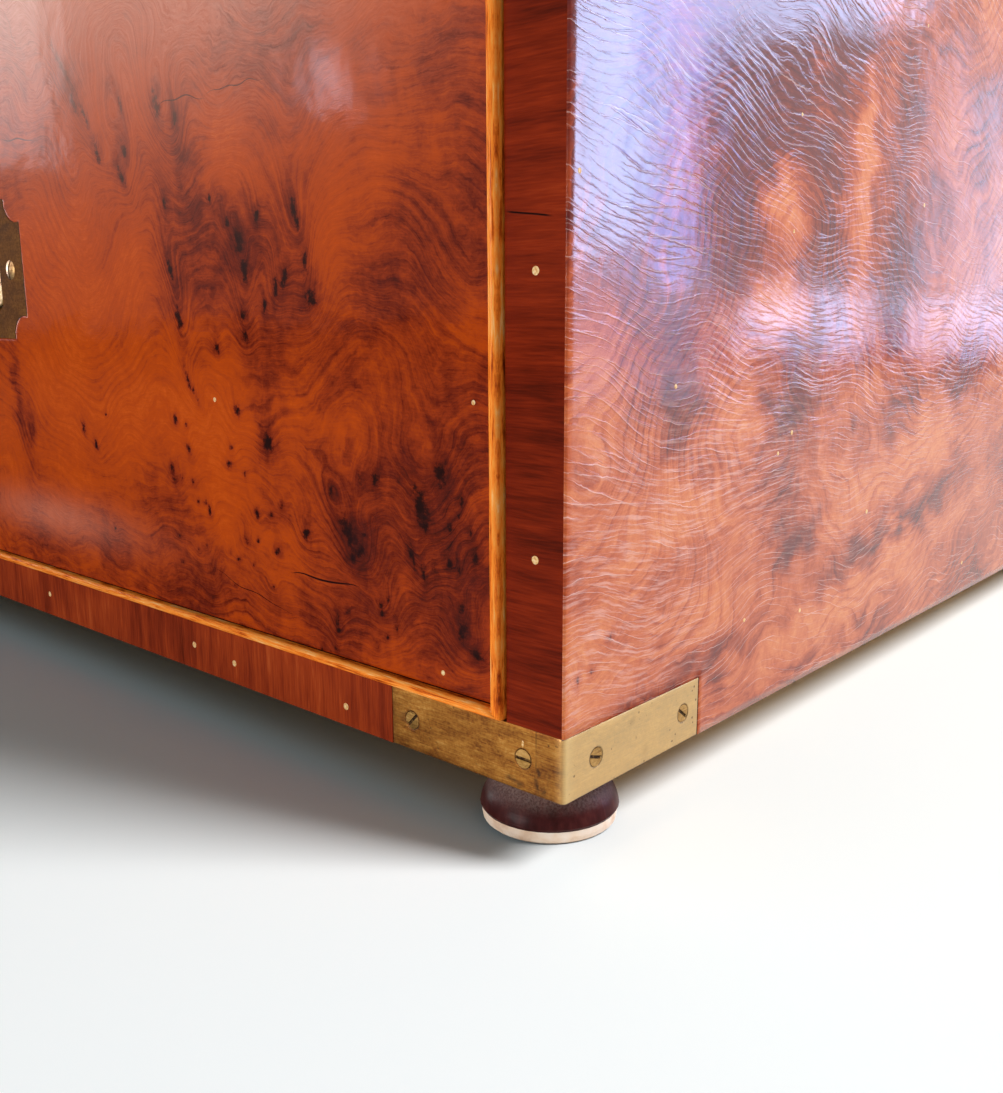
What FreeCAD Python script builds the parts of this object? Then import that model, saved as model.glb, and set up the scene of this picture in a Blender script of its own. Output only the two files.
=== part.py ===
# Small campaign chest: a one-piece carcass on four turned feet, with three graduated drawers,
# flush brass handles and let-in brass corner straps. Burr yew veneer on a softwood carcass.
# Millimetres, +Z up. The origin is on the floor under the middle of the chest, drawers open to -Y.
import FreeCAD, Part
import math
import os

Vec = FreeCAD.Vector
X_AXIS = Vec(1, 0, 0)
Y_AXIS = Vec(0, 1, 0)
Z_AXIS = Vec(0, 0, 1)
ORIGIN = Vec(0, 0, 0)
os.makedirs("parts", exist_ok=True)

# ---- driving dimensions ---------------------------------------------------------------------
CHEST_WIDTH = 672.0
CARCASS_DEPTH = 490.0
FOOT_HEIGHT = 20.0
RAIL_HEIGHT = 19.0
DRAWER_OPENINGS = {"bottom": 258.0, "middle": 212.0, "top": 172.0}

VENEER = 0.8            # burr veneer on the sides, the top and the drawer fronts
ARRIS = 0.6             # rounding of the front vertical edges
FACING = 2.0            # crossgrain yew on the front edges of the carcass
SIDE_BOARD = 19.6
HOUSING = 6.0           # how far rails and boards are let into the side boards
RAIL_DEPTH = 60.0
RUNNER_WIDTH = 45.0
DUST_BOARD = 5.0
GROOVE = 6.0
BACK_PANEL = 6.0
BACK_REBATE = 8.0

SIDE_GAP = 1.0          # between a drawer and its opening, left, right and above
SIT_GAP = 0.5           # under the drawer
BEAD_THICK = 3.2
BEAD_PROUD = 3.0
BEAD_BACK = 7.0         # depth of the rebate that the bead is glued in
FRONT_THICK = 19.0      # drawer front with its veneer
BOX_SIDE = 12.0
BOX_LENGTH = 470.0      # from the face of the drawer to the back of its box
BOX_SIDE_GAP = 1.5
BOX_DROP = 12.0         # the box is this much lower than the opening
BOX_ROUND = 3.0         # rounding of the top edges of the box sides
BOTTOM_PLY = 6.0
BOTTOM_RAISE = 9.0
BOTTOM_GROOVE = 5.0
TAIL_LAP = 11.0         # length of the lapped dovetails in the drawer front
TAIL_SLOPE = math.tan(math.radians(8))
TAIL_PITCH = 36.0

STRAP_HEIGHT = 19.0
STRAP_LEG = 67.5
STRAP_THICK = 2.0
STRAP_CORNER = 1.8
STRAP_SCREW_PLACES = (14.5, 58.7)   # from the corner along each leg
STRAP_SCREW_RISE = 9.6

PLATE_WIDTH = 102.0
PLATE_HEIGHT = 56.4
PLATE_THICK = 2.6
NOTCH_RADIUS = 9.4      # scooped corner of the handle plate
NOTCH_FLAT = 3.4
PAN_WIDTH = 60.0        # the recess in the plate, inside
PAN_HEIGHT = 33.0
PAN_DEPTH = 9.5
PAN_WALL = 2.0
PAN_FLOOR = 1.5
PAN_CORNER = 4.0
PLATE_SCREW_X = 39.7

BAIL_WIDTH = 59.0
BAIL_BAR = 5.6
BAIL_AXIS_Y = 3.4       # behind the plate's face
BAIL_AXIS_Z = 11.5      # above the plate's middle
BAIL_BOTTOM = -15.0
BAIL_CORNER = 5.0
BAIL_INNER_CORNER = 2.5
BAIL_SOFTENING = 0.8
PIN_RADIUS = 1.5
PIN_CLEARANCE = 0.05
PIN_LENGTH = 1.8

FOOT_INSET = 26.0       # foot centre from each face of the carcass
FOOT_RADIUS = 21.2
GLIDE_RADIUS = 20.6
GLIDE_THICK = 4.0
DOME_RISE = 13.5
DOME_BASE = 5.0         # height above the floor of the foot's widest line
NECK_RADIUS = 9.7
FOOT_BORE = 6.0
FOOT_BORE_DEPTH = 5.0

SIDE_HANDLE_Z = 560.0

# ---- places worked out from them --------------------------------------------------------------
HALF = CHEST_WIDTH / 2
FRONT = -(CARCASS_DEPTH + BEAD_PROUD) / 2 + BEAD_PROUD      # y of the carcass front
BACK = FRONT + CARCASS_DEPTH
MIDDLE_Y = (FRONT + BACK) / 2
BOARD_OUT = HALF - VENEER                                   # outer face of a side board
INSIDE = BOARD_OUT - SIDE_BOARD                             # half the inside width
BASE = FOOT_HEIGHT
CARCASS_HEIGHT = 4 * RAIL_HEIGHT + sum(DRAWER_OPENINGS.values())
TOP = BASE + CARCASS_HEIGHT
BACK_INNER = BACK - BACK_PANEL
RAIL_BACK = FRONT + FACING + RAIL_DEPTH
PLATE_CORNER_Z = PLATE_HEIGHT / 2 - NOTCH_RADIUS

opening_floor = {}
level = BASE + RAIL_HEIGHT
for drawer, height in DRAWER_OPENINGS.items():
    opening_floor[drawer] = level
    level += height + RAIL_HEIGHT
rail_floor = {
    "bottom": BASE,
    "lower_divider": opening_floor["middle"] - RAIL_HEIGHT,
    "upper_divider": opening_floor["top"] - RAIL_HEIGHT,
    "top": TOP - RAIL_HEIGHT,
}


# ---- small helpers ------------------------------------------------------------------------------
def block(x0, x1, y0, y1, z0, z1):
    """A square-edged board between two corners."""
    return Part.makeBox(x1 - x0, y1 - y0, z1 - z0, Vec(x0, y0, z0))


def wide_block(half_width, y0, y1, z0, z1):
    """A board that is centred on the chest."""
    return block(-half_width, half_width, y0, y1, z0, z1)


def mirrored(shape, normal=X_AXIS, through=ORIGIN):
    return shape.mirror(through, normal)


def pair(shape):
    """The shape and its mirror image on the other side of the chest."""
    return [shape, mirrored(shape)]


def placed(shape, x, y, z, turn=0.0):
    """A copy that is turned about Z by turn degrees and then moved."""
    copy = shape.copy()
    copy.rotate(ORIGIN, Z_AXIS, turn)
    copy.translate(Vec(x, y, z))
    return copy


def cut(shape, *cutters):
    """The shape with every cutter taken out; lists of cutters may be nested once."""
    tools = []
    for cutter in cutters:
        tools += cutter if isinstance(cutter, list) else [cutter]
    near = [tool for tool in tools if tool.BoundBox.intersect(shape.BoundBox)]
    return shape.cut(near) if near else shape


def rounded_slab(width, z0, z1, y0, y1, radius):
    """A slab facing -Y, centred on x = 0, with its four corners rounded."""
    slab = wide_block(width / 2, y0, y1, z0, z1)
    corners = [edge for edge in slab.Edges if abs(edge.BoundBox.YLength - (y1 - y0)) < 1e-6]
    return slab.makeFillet(radius, corners)


def turned(profile, axis):
    """A solid turned from (radius, height) points about the Y or the Z axis."""
    points = [Vec(r, h, 0) if axis == Y_AXIS else Vec(r, 0, h) for r, h in profile]
    face = Part.Face(Part.makePolygon(points + points[:1]))
    return face.revolve(ORIGIN, axis, 360)


def save(node, *shapes):
    solids = []
    for shape in shapes:
        solids += shape if isinstance(shape, list) else [shape]
    whole = solids[0] if len(solids) == 1 else Part.makeCompound(solids)
    whole.exportStep("parts/" + node + ".step")


# ---- screws: the head faces -Y at y = 0 and the shank runs to +Y --------------------------------
def screw_body(head, shank, length, raised=0.0):
    """Countersunk wood screw without its slot, also used to cut its hole."""
    rim = 0.4
    profile = [(0, -raised), (head * 0.6, -raised * 0.72), (head, 0), (head, rim),
               (shank, rim + head - shank), (shank, length - 2 * shank), (0, length)]
    if raised == 0.0:
        profile.pop(1)
    return turned(profile, Y_AXIS)


def slotted(body, head, slot_width, slot_depth, angle):
    """The screw with a driver slot at an angle in degrees from the horizontal."""
    slot = block(-head * 1.2, head * 1.2, -head, slot_depth, -slot_width / 2, slot_width / 2)
    slot.rotate(ORIGIN, Y_AXIS, angle)
    return body.cut(slot)


STRAP_HEAD = 2.8
PLATE_HEAD = 4.0
strap_screw_body = screw_body(STRAP_HEAD, 1.4, 12.0)
plate_screw_body = screw_body(PLATE_HEAD, 2.0, 14.0, raised=0.8)
back_screw_body = screw_body(3.4, 1.6, 16.0)
foot_screw_body = screw_body(4.0, 2.0, 26.0)


# ---- flush handle: the plate's face is at y = 0, its middle at x = z = 0 ------------------------
def plate_blank():
    """The plate's outline with its four scooped corners, and its full thickness."""
    half_w, half_h = PLATE_WIDTH / 2, PLATE_HEIGHT / 2
    scoop = Part.makeCylinder(NOTCH_RADIUS, PLATE_THICK, Vec(half_w - NOTCH_FLAT, 0, half_h), Y_AXIS)
    flat = block(half_w - NOTCH_FLAT, half_w + 1, 0, PLATE_THICK, PLATE_CORNER_Z, half_h + 1)
    corner = scoop.fuse(flat)
    upper = pair(corner)
    lower = [mirrored(piece, Z_AXIS) for piece in upper]
    blank = wide_block(half_w, 0, PLATE_THICK, -half_h, half_h)
    return cut(blank, upper, lower).removeSplitter()


def pan_outside():
    return rounded_slab(PAN_WIDTH + 2 * PAN_WALL, -PAN_HEIGHT / 2 - PAN_WALL, PAN_HEIGHT / 2 + PAN_WALL,
                        0, PAN_DEPTH + PAN_FLOOR, PAN_CORNER + PAN_WALL)


def handle_plate():
    """The cast plate with its pan, its two screw holes and the two holes for the bail's pins."""
    recess = rounded_slab(PAN_WIDTH, -PAN_HEIGHT / 2, PAN_HEIGHT / 2, -1, PAN_DEPTH, PAN_CORNER)
    pin_bore = Part.makeCylinder(PIN_RADIUS + PIN_CLEARANCE, PAN_WIDTH + 2 * PAN_WALL,
                                 Vec(-PAN_WIDTH / 2 - PAN_WALL, BAIL_AXIS_Y, BAIL_AXIS_Z), X_AXIS)
    screw_holes = pair(placed(plate_screw_body, PLATE_SCREW_X, 0, 0))
    return cut(plate_blank().fuse(pan_outside()), recess, pin_bore, screw_holes).removeSplitter()


def handle_bail():
    """The squared loop that hangs in the pan on its two pins."""
    eye_radius = BAIL_BAR / 2
    near, far = BAIL_AXIS_Y - eye_radius, BAIL_AXIS_Y + eye_radius
    arm_top = BAIL_AXIS_Z + BAIL_BAR
    loop = rounded_slab(BAIL_WIDTH, BAIL_BOTTOM, arm_top, near, far, BAIL_CORNER)
    inner_width = BAIL_WIDTH - 2 * BAIL_BAR
    gap = rounded_slab(inner_width, BAIL_BOTTOM + BAIL_BAR, arm_top + BAIL_BAR, near - 1, far + 1,
                       BAIL_INNER_CORNER)
    above = wide_block(BAIL_WIDTH, near - 1, far + 1, BAIL_AXIS_Z, arm_top + 1)
    arms = loop.cut(gap).cut(above)
    front_and_back = [edge for edge in arms.Edges if edge.BoundBox.YLength < 1e-6
                      and edge.BoundBox.ZMin < BAIL_AXIS_Z - 1e-3]
    arms = arms.makeFillet(BAIL_SOFTENING, front_and_back)
    eye = Part.makeCylinder(eye_radius, BAIL_BAR, Vec(inner_width / 2, BAIL_AXIS_Y, BAIL_AXIS_Z), X_AXIS)
    pin = Part.makeCylinder(PIN_RADIUS, PIN_LENGTH + (PAN_WIDTH - BAIL_WIDTH) / 2,
                            Vec(BAIL_WIDTH / 2, BAIL_AXIS_Y, BAIL_AXIS_Z), X_AXIS)
    return arms.fuse(pair(eye) + pair(pin)).removeSplitter()


def handle_pocket():
    """The wood that is cut away for a handle: plate, pan and screws."""
    return [plate_blank(), pan_outside()] + pair(placed(plate_screw_body, PLATE_SCREW_X, 0, 0))


def handle_screws():
    right = slotted(plate_screw_body, PLATE_HEAD, 1.1, 0.6, 12)
    left = slotted(plate_screw_body, PLATE_HEAD, 1.1, 0.6, -48)
    return [placed(right, PLATE_SCREW_X, 0, 0), placed(left, -PLATE_SCREW_X, 0, 0)]


PLATE = handle_plate()
BAIL = handle_bail()
POCKET = handle_pocket()
PLATE_SCREWS = handle_screws()


def all_placed(shapes, x, y, z, turn=0.0):
    return [placed(shape, x, y, z, turn) for shape in shapes]


# ---- corner straps ------------------------------------------------------------------------------
def upright_corner(shape):
    """The shape's vertical edge at the front right corner of the chest."""
    return [edge for edge in shape.Edges
            if abs(edge.BoundBox.XMin - HALF) < 1e-6 and abs(edge.BoundBox.YMax - FRONT) < 1e-6
            and edge.BoundBox.ZLength > 1]


def corner_copies(shape, levels=(BASE, TOP - STRAP_HEIGHT)):
    """A shape drawn at the front right corner on the floor, copied to every corner at each level."""
    copies = []
    for height in levels:
        front = pair(placed(shape, 0, 0, height))
        back = [mirrored(piece, Y_AXIS, Vec(0, MIDDLE_Y, 0)) for piece in front]
        copies += front + back
    return copies


strap_block = block(HALF - STRAP_LEG, HALF, FRONT, FRONT + STRAP_THICK, 0, STRAP_HEIGHT).fuse(
    block(HALF - STRAP_THICK, HALF, FRONT, FRONT + STRAP_LEG, 0, STRAP_HEIGHT)).removeSplitter()
strap_shape = strap_block.makeFillet(STRAP_CORNER, upright_corner(strap_block))

strap_screw_bodies = []
strap_screw_solids = []
for number, place in enumerate(STRAP_SCREW_PLACES):
    front_place = (HALF - place, FRONT, STRAP_SCREW_RISE, 0)
    side_place = (HALF, FRONT + place, STRAP_SCREW_RISE, 90)
    for spot, angle in ((front_place, (4, -47)[number]), (side_place, (-6, 38)[number])):
        strap_screw_bodies.append(placed(strap_screw_body, *spot))
        strap_screw_solids.append(placed(slotted(strap_screw_body, STRAP_HEAD, 0.95, 0.8, angle), *spot))
strap_shape = cut(strap_shape, strap_screw_bodies)

strap_cutters = corner_copies(strap_block)
strap_screw_cutters = []
for body in strap_screw_bodies:
    strap_screw_cutters += corner_copies(body)

bottom_straps = corner_copies(strap_shape, levels=(BASE,))
top_straps = corner_copies(strap_shape, levels=(TOP - STRAP_HEIGHT,))
save("bottom_corner_straps", bottom_straps)
save("top_corner_straps", top_straps)
strap_screws = []
for solid in strap_screw_solids:
    strap_screws += corner_copies(solid)
save("strap_screws", strap_screws)

# ---- filled pin holes that hold the facings, as pale plugs --------------------------------------
PIN_PLUG_RADIUS = 1.15
PIN_PLUG_LENGTH = 8.0
STILE_PIN_INSET = 10.2
STILE_PIN_FIRST = 66.8
STILE_PIN_STEP = 73.9
RAIL_PINS = ((89.5, 6.4), (150.6, 7.6), (175.8, 9.4), (288.7, 9.4))   # from the side, above the edge

plug = Part.makeCylinder(PIN_PLUG_RADIUS, PIN_PLUG_LENGTH, ORIGIN, Y_AXIS)
facing_pins = []
height = BASE + STILE_PIN_FIRST
while height < TOP - STRAP_HEIGHT:
    facing_pins += pair(placed(plug, HALF - STILE_PIN_INSET, FRONT, height))
    height += STILE_PIN_STEP
for inset, rise in RAIL_PINS:
    facing_pins += pair(placed(plug, HALF - inset, FRONT, BASE + rise))
save("facing_pins", facing_pins)

# ---- rails, boards and runners ------------------------------------------------------------------
let_in = INSIDE + HOUSING
rails = {}
for rail in ("bottom", "lower_divider", "upper_divider"):
    floor = rail_floor[rail]
    rails[rail] = wide_block(let_in, FRONT + FACING, RAIL_BACK, floor, floor + RAIL_HEIGHT)
bottom_board = wide_block(let_in, RAIL_BACK, BACK_INNER, BASE, BASE + RAIL_HEIGHT)
top_board = wide_block(let_in, FRONT + FACING, BACK_INNER, TOP - RAIL_HEIGHT, TOP - VENEER)

runners = []
dust_boards = {}
for rail in ("lower_divider", "upper_divider"):
    floor = rail_floor[rail]
    runners += pair(block(INSIDE - RUNNER_WIDTH, INSIDE, RAIL_BACK, BACK_INNER, floor, floor + RAIL_HEIGHT))
    sheet_floor = floor + (RAIL_HEIGHT - DUST_BOARD) / 2
    dust_boards[rail] = wide_block(INSIDE - RUNNER_WIDTH + GROOVE, RAIL_BACK - GROOVE, BACK_INNER,
                                   sheet_floor, sheet_floor + DUST_BOARD)
sheets = list(dust_boards.values())

# ---- feet: turned domes with an ivory-coloured glide, screwed up into the bottom ----------------
FOOT_SCREW_Z = GLIDE_THICK + FOOT_BORE_DEPTH


def dome_point(angle):
    """A point of the dome's outline, at an angle in radians above its widest line."""
    return Vec(FOOT_RADIUS * math.cos(angle), 0, DOME_BASE + DOME_RISE * math.sin(angle))


neck_angle = math.acos(NECK_RADIUS / FOOT_RADIUS)
widest, shoulder, neck = [dome_point(neck_angle * part) for part in (0, 0.5, 1)]
foot_edges = Part.makePolygon([neck, Vec(NECK_RADIUS, 0, BASE), Vec(0, 0, BASE), Vec(0, 0, GLIDE_THICK),
                               Vec(GLIDE_RADIUS, 0, GLIDE_THICK), widest]).Edges
foot_edges.append(Part.Arc(widest, shoulder, neck).toShape())
foot_blank = Part.Face(Part.Wire(foot_edges)).revolve(ORIGIN, Z_AXIS, 360)
glide_profile = [(0, 0), (GLIDE_RADIUS - 1.2, 0), (GLIDE_RADIUS - 0.3, 0.8), (GLIDE_RADIUS, 2.2),
                 (GLIDE_RADIUS, GLIDE_THICK), (FOOT_BORE, GLIDE_THICK), (FOOT_BORE, GLIDE_THICK + 2),
                 (0, GLIDE_THICK + 2)]
upright_screw = foot_screw_body.copy()
upright_screw.rotate(ORIGIN, X_AXIS, 90)
upright_slotted = slotted(foot_screw_body, 4.0, 1.1, 0.9, 20)
upright_slotted.rotate(ORIGIN, X_AXIS, 90)

foot_bore = Part.makeCylinder(FOOT_BORE, FOOT_BORE_DEPTH, Vec(0, 0, GLIDE_THICK))
foot_shape = cut(foot_blank, foot_bore, placed(upright_screw, 0, 0, FOOT_SCREW_Z))
glide_shape = turned(glide_profile, Z_AXIS)
feet = []
glides = []
foot_screws = []
foot_screw_cutters = []
for x in (-(HALF - FOOT_INSET), HALF - FOOT_INSET):
    for y in (FRONT + FOOT_INSET, BACK - FOOT_INSET):
        feet.append(placed(foot_shape, x, y, 0))
        glides.append(placed(glide_shape, x, y, 0))
        foot_screws.append(placed(upright_slotted, x, y, FOOT_SCREW_Z))
        foot_screw_cutters.append(placed(upright_screw, x, y, FOOT_SCREW_Z))
save("feet", feet)
save("foot_glides", glides)
save("foot_screws", foot_screws)

# ---- back panel, in a rebate, with its screws ---------------------------------------------------
back_panel = wide_block(INSIDE + BACK_REBATE, BACK_INNER, BACK, BASE, TOP - VENEER)
back_screws = []
back_screw_cutters = []
edge_x = INSIDE + BACK_REBATE / 2
edge_heights = [BASE + CARCASS_HEIGHT * part for part in (0.1, 0.3, 0.5, 0.7, 0.9)]
back_places = [(side * edge_x, height) for side in (-1, 1) for height in edge_heights]
back_places += [(x, height) for x in (-170.0, 0.0, 170.0)
                for height in (BASE + RAIL_HEIGHT / 2, TOP - RAIL_HEIGHT / 2)]
for number, (x, height) in enumerate(back_places):
    slot_angle = (number * 37) % 180
    back_screws.append(placed(slotted(back_screw_body, 3.4, 1.0, 0.8, slot_angle), x, BACK, height, 180))
    back_screw_cutters.append(placed(back_screw_body, x, BACK, height, 180))
save("back_screws", back_screws)
save("back_panel", cut(back_panel, strap_cutters, back_screw_cutters, strap_screw_cutters))

# ---- carrying handles let into the sides --------------------------------------------------------
side_places = {"left": (-HALF, MIDDLE_Y, SIDE_HANDLE_Z, -90), "right": (HALF, MIDDLE_Y, SIDE_HANDLE_Z, 90)}
side_screws = []
side_pockets = {}
for side, spot in side_places.items():
    save("side_handle_plate_" + side, placed(PLATE, *spot))
    save("side_handle_bail_" + side, placed(BAIL, *spot))
    side_screws += all_placed(PLATE_SCREWS, *spot)
    side_pockets[side] = all_placed(POCKET, *spot)
save("side_handle_screws", side_screws)

# ---- the carcass boards, cut for everything that is let into them --------------------------------
housed = list(rails.values()) + [bottom_board, top_board]
side_right = block(INSIDE, BOARD_OUT, FRONT + FACING, BACK, BASE, TOP - VENEER)
stile_right = block(INSIDE, BOARD_OUT, FRONT, FRONT + FACING, BASE, TOP)
skin_block = block(BOARD_OUT, HALF, FRONT, BACK, BASE, TOP)
skin_right = skin_block.makeFillet(ARRIS, upright_corner(skin_block))
for side, board, skin in (("right", side_right, skin_right),
                          ("left", mirrored(side_right), mirrored(skin_right))):
    save("side_board_" + side, cut(board, housed, back_panel, strap_cutters, strap_screw_cutters,
                                   facing_pins, back_screw_cutters, side_pockets[side]))
    save("side_veneer_" + side, cut(skin, strap_cutters, side_pockets[side]))
save("stile_facings", [cut(stile, strap_cutters, facing_pins) for stile in pair(stile_right)])

rail_facings = []
for floor in rail_floor.values():
    strip = wide_block(INSIDE, FRONT, FRONT + FACING, floor, floor + RAIL_HEIGHT)
    rail_facings.append(cut(strip, strap_cutters, facing_pins))
save("rail_facings", rail_facings)

fixings = [strap_screw_cutters, facing_pins, foot_screw_cutters, back_screw_cutters]
save("bottom_rail", cut(rails["bottom"], *fixings))
save("lower_divider_rail", cut(rails["lower_divider"], sheets, facing_pins))
save("upper_divider_rail", cut(rails["upper_divider"], sheets, facing_pins))
save("bottom_board", cut(bottom_board, strap_cutters, *fixings))
save("top_board", cut(top_board, strap_cutters, *fixings))
save("top_veneer", cut(wide_block(BOARD_OUT, FRONT + FACING, BACK, TOP - VENEER, TOP), strap_cutters))
save("drawer_runners", [cut(runner, sheets) for runner in runners])
save("lower_dust_board", dust_boards["lower_divider"])
save("upper_dust_board", dust_boards["upper_divider"])

# ---- drawer stops, glued on the rails behind each drawer front -----------------------------------
STOP_X = 150.0
STOP_WIDTH = 40.0
STOP_DEPTH = 14.0
STOP_HEIGHT = 5.0
STOP_GAP = 0.5
stop_front = FRONT + FRONT_THICK + STOP_GAP
stops = []
for floor in opening_floor.values():
    stops += pair(block(STOP_X, STOP_X + STOP_WIDTH, stop_front, stop_front + STOP_DEPTH,
                        floor, floor + STOP_HEIGHT))
save("drawer_stops", stops)


# ---- drawers ------------------------------------------------------------------------------------
def tails(x_out, y_root, y_tip, z0, z1):
    """Dovetails of the left and right sides, as wedges that widen from y_root to y_tip."""
    count = max(2, round((z1 - z0) / TAIL_PITCH))
    pitch = (z1 - z0) / count
    root = pitch * 0.28
    tip = root + abs(y_tip - y_root) * TAIL_SLOPE
    wedges = []
    for number in range(count):
        mid = z0 + (number + 0.5) * pitch
        corners = [Vec(0, y_root, mid - root), Vec(0, y_root, mid + root),
                   Vec(0, y_tip, mid + tip), Vec(0, y_tip, mid - tip)]
        wedge = Part.Face(Part.makePolygon(corners + corners[:1])).extrude(Vec(BOX_SIDE, 0, 0))
        wedges += pair(placed(wedge, x_out - BOX_SIDE, 0, 0))
    return wedges


def bead_strips(x, z0, z1):
    """Four mitred strips with a round nose, around the edge of a drawer front."""
    nose = BEAD_THICK / 2
    back = FRONT + BEAD_BACK
    nose_centre = FRONT - BEAD_PROUD + nose
    strips = []
    width, height = 2 * x, z1 - z0
    for turn, length, span in ((0, width, height), (90, height, width), (180, width, height),
                               (270, height, width)):
        square = block(-length / 2, length / 2, nose_centre, back, -span / 2, -span / 2 + BEAD_THICK)
        rod = Part.makeCylinder(nose, length, Vec(-length / 2, nose_centre, -span / 2 + nose), X_AXIS)
        reach = length / 2
        mitre = [Vec(-reach, 0, -span / 2), Vec(reach, 0, -span / 2),
                 Vec(reach - BEAD_THICK, 0, -span / 2 + BEAD_THICK),
                 Vec(-reach + BEAD_THICK, 0, -span / 2 + BEAD_THICK)]
        keep = Part.Face(Part.makePolygon(mitre + mitre[:1])).extrude(Vec(0, 60, 0))
        keep.translate(Vec(0, FRONT - 30, 0))
        strip = square.fuse(rod).removeSplitter().common(keep)
        strip.rotate(ORIGIN, Y_AXIS, turn)
        strip.translate(Vec(0, 0, (z0 + z1) / 2))
        strips.append(strip)
    return strips


def make_drawer(name, floor, opening):
    """One drawer with its front, its dovetailed box, its bead and its flush handle."""
    face_x = INSIDE - SIDE_GAP
    low, high = floor + SIT_GAP, floor + opening - SIDE_GAP
    middle = floor + opening / 2
    box_x = INSIDE - BOX_SIDE_GAP
    box_high = floor + opening - BOX_DROP
    box_back = FRONT + BOX_LENGTH
    ply_low = low + BOTTOM_RAISE
    pocket = all_placed(POCKET, 0, FRONT, middle)

    save(name + "_drawer_cockbead", bead_strips(face_x, low, high))

    inner_x = face_x - BEAD_THICK
    veneer = wide_block(inner_x, FRONT, FRONT + VENEER, low + BEAD_THICK, high - BEAD_THICK)
    save(name + "_drawer_veneer", cut(veneer, pocket))

    ply = wide_block(box_x - BOX_SIDE + BOTTOM_GROOVE, FRONT + FRONT_THICK - BOTTOM_GROOVE, box_back,
                     ply_low, ply_low + BOTTOM_PLY)
    save(name + "_drawer_bottom", ply)

    core = wide_block(inner_x, FRONT + VENEER, FRONT + BEAD_BACK, low + BEAD_THICK, high - BEAD_THICK)
    rear = wide_block(face_x, FRONT + BEAD_BACK, FRONT + FRONT_THICK, low, high)
    front_tails = tails(box_x, FRONT + FRONT_THICK, FRONT + FRONT_THICK - TAIL_LAP, low, box_high)
    front = cut(core.fuse(rear).removeSplitter(), pocket, front_tails, ply)
    save(name + "_drawer_front", front)

    rear_low, rear_high = ply_low + BOTTOM_PLY, box_high - 6.0
    rear_tails = tails(box_x, box_back - BOX_SIDE, box_back, rear_low, rear_high)
    rear_board = cut(wide_block(box_x, box_back - BOX_SIDE, box_back, rear_low, rear_high), rear_tails)
    save(name + "_drawer_back", rear_board)

    board = block(box_x - BOX_SIDE, box_x, FRONT + FRONT_THICK - TAIL_LAP, box_back, low, box_high)
    top_edges = [edge for edge in board.Edges
                 if edge.BoundBox.ZMin > box_high - 1e-6 and edge.BoundBox.YLength > BOX_SIDE]
    side = board.makeFillet(BOX_ROUND, top_edges)
    save(name + "_drawer_side_right", cut(side, front, rear_board, ply))
    save(name + "_drawer_side_left", cut(mirrored(side), front, rear_board, ply))

    save(name + "_handle_plate", placed(PLATE, 0, FRONT, middle))
    save(name + "_handle_bail", placed(BAIL, 0, FRONT, middle))
    save(name + "_handle_screws", all_placed(PLATE_SCREWS, 0, FRONT, middle))


for drawer, opening in DRAWER_OPENINGS.items():
    make_drawer(drawer, opening_floor[drawer], opening)
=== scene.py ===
import math

import bpy
import numpy as np
from mathutils import Matrix, Vector


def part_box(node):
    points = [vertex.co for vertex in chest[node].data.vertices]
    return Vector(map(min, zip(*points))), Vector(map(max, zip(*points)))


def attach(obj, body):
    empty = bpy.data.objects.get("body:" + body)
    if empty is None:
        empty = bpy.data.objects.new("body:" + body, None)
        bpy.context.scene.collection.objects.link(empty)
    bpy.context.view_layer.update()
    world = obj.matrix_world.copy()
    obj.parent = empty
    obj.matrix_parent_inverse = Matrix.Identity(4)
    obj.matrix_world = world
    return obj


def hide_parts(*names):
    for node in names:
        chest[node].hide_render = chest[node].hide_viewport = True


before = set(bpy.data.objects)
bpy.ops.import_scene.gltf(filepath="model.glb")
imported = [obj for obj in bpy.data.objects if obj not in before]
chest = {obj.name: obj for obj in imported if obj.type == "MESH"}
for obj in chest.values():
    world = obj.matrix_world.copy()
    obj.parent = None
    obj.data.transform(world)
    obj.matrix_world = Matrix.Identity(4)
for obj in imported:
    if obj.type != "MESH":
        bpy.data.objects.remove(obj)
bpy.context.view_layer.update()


# ---- Camera -------------------------------------------------------------------------------------
# It stands low and close before the front right corner of the chest, and looks a little down.
CAMERA_PLACE = Vector((0.5051, -0.4578, 0.1518))
CAMERA_YAW = math.radians(41.728)
CAMERA_PITCH = math.radians(12.374)
CAMERA_ROLL = math.radians(-0.278)
CAMERA_LENS = 35.895

camera_data = bpy.data.cameras.new("camera")
camera_data.lens = CAMERA_LENS
camera_data.clip_start = 0.01
camera = bpy.data.objects.new("camera", camera_data)
bpy.context.scene.collection.objects.link(camera)
bpy.context.scene.camera = camera
level = Vector((math.cos(CAMERA_YAW), math.sin(CAMERA_YAW), 0))
forward = Vector((-level.y, level.x, -math.tan(CAMERA_PITCH))).normalized()
upright = level.cross(forward)
right = level * math.cos(CAMERA_ROLL) + upright * math.sin(CAMERA_ROLL)
up = upright * math.cos(CAMERA_ROLL) - level * math.sin(CAMERA_ROLL)
camera.matrix_world = (Matrix.Translation(CAMERA_PLACE)
                       @ Matrix((right, up, -forward)).transposed().to_4x4())


# ---- Floor and white surround -------------------------------------------------------------------
# A plain white floor that keeps the shadow of the chest, and a white surround above it.
FLOOR_REACH = 9.0
FLOOR_WHITE = (0.97, 0.985, 0.985, 1)
SURROUND_LIGHT = 0.09
SURROUND_TINT = (0.72, 0.92, 1, 1)


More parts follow.
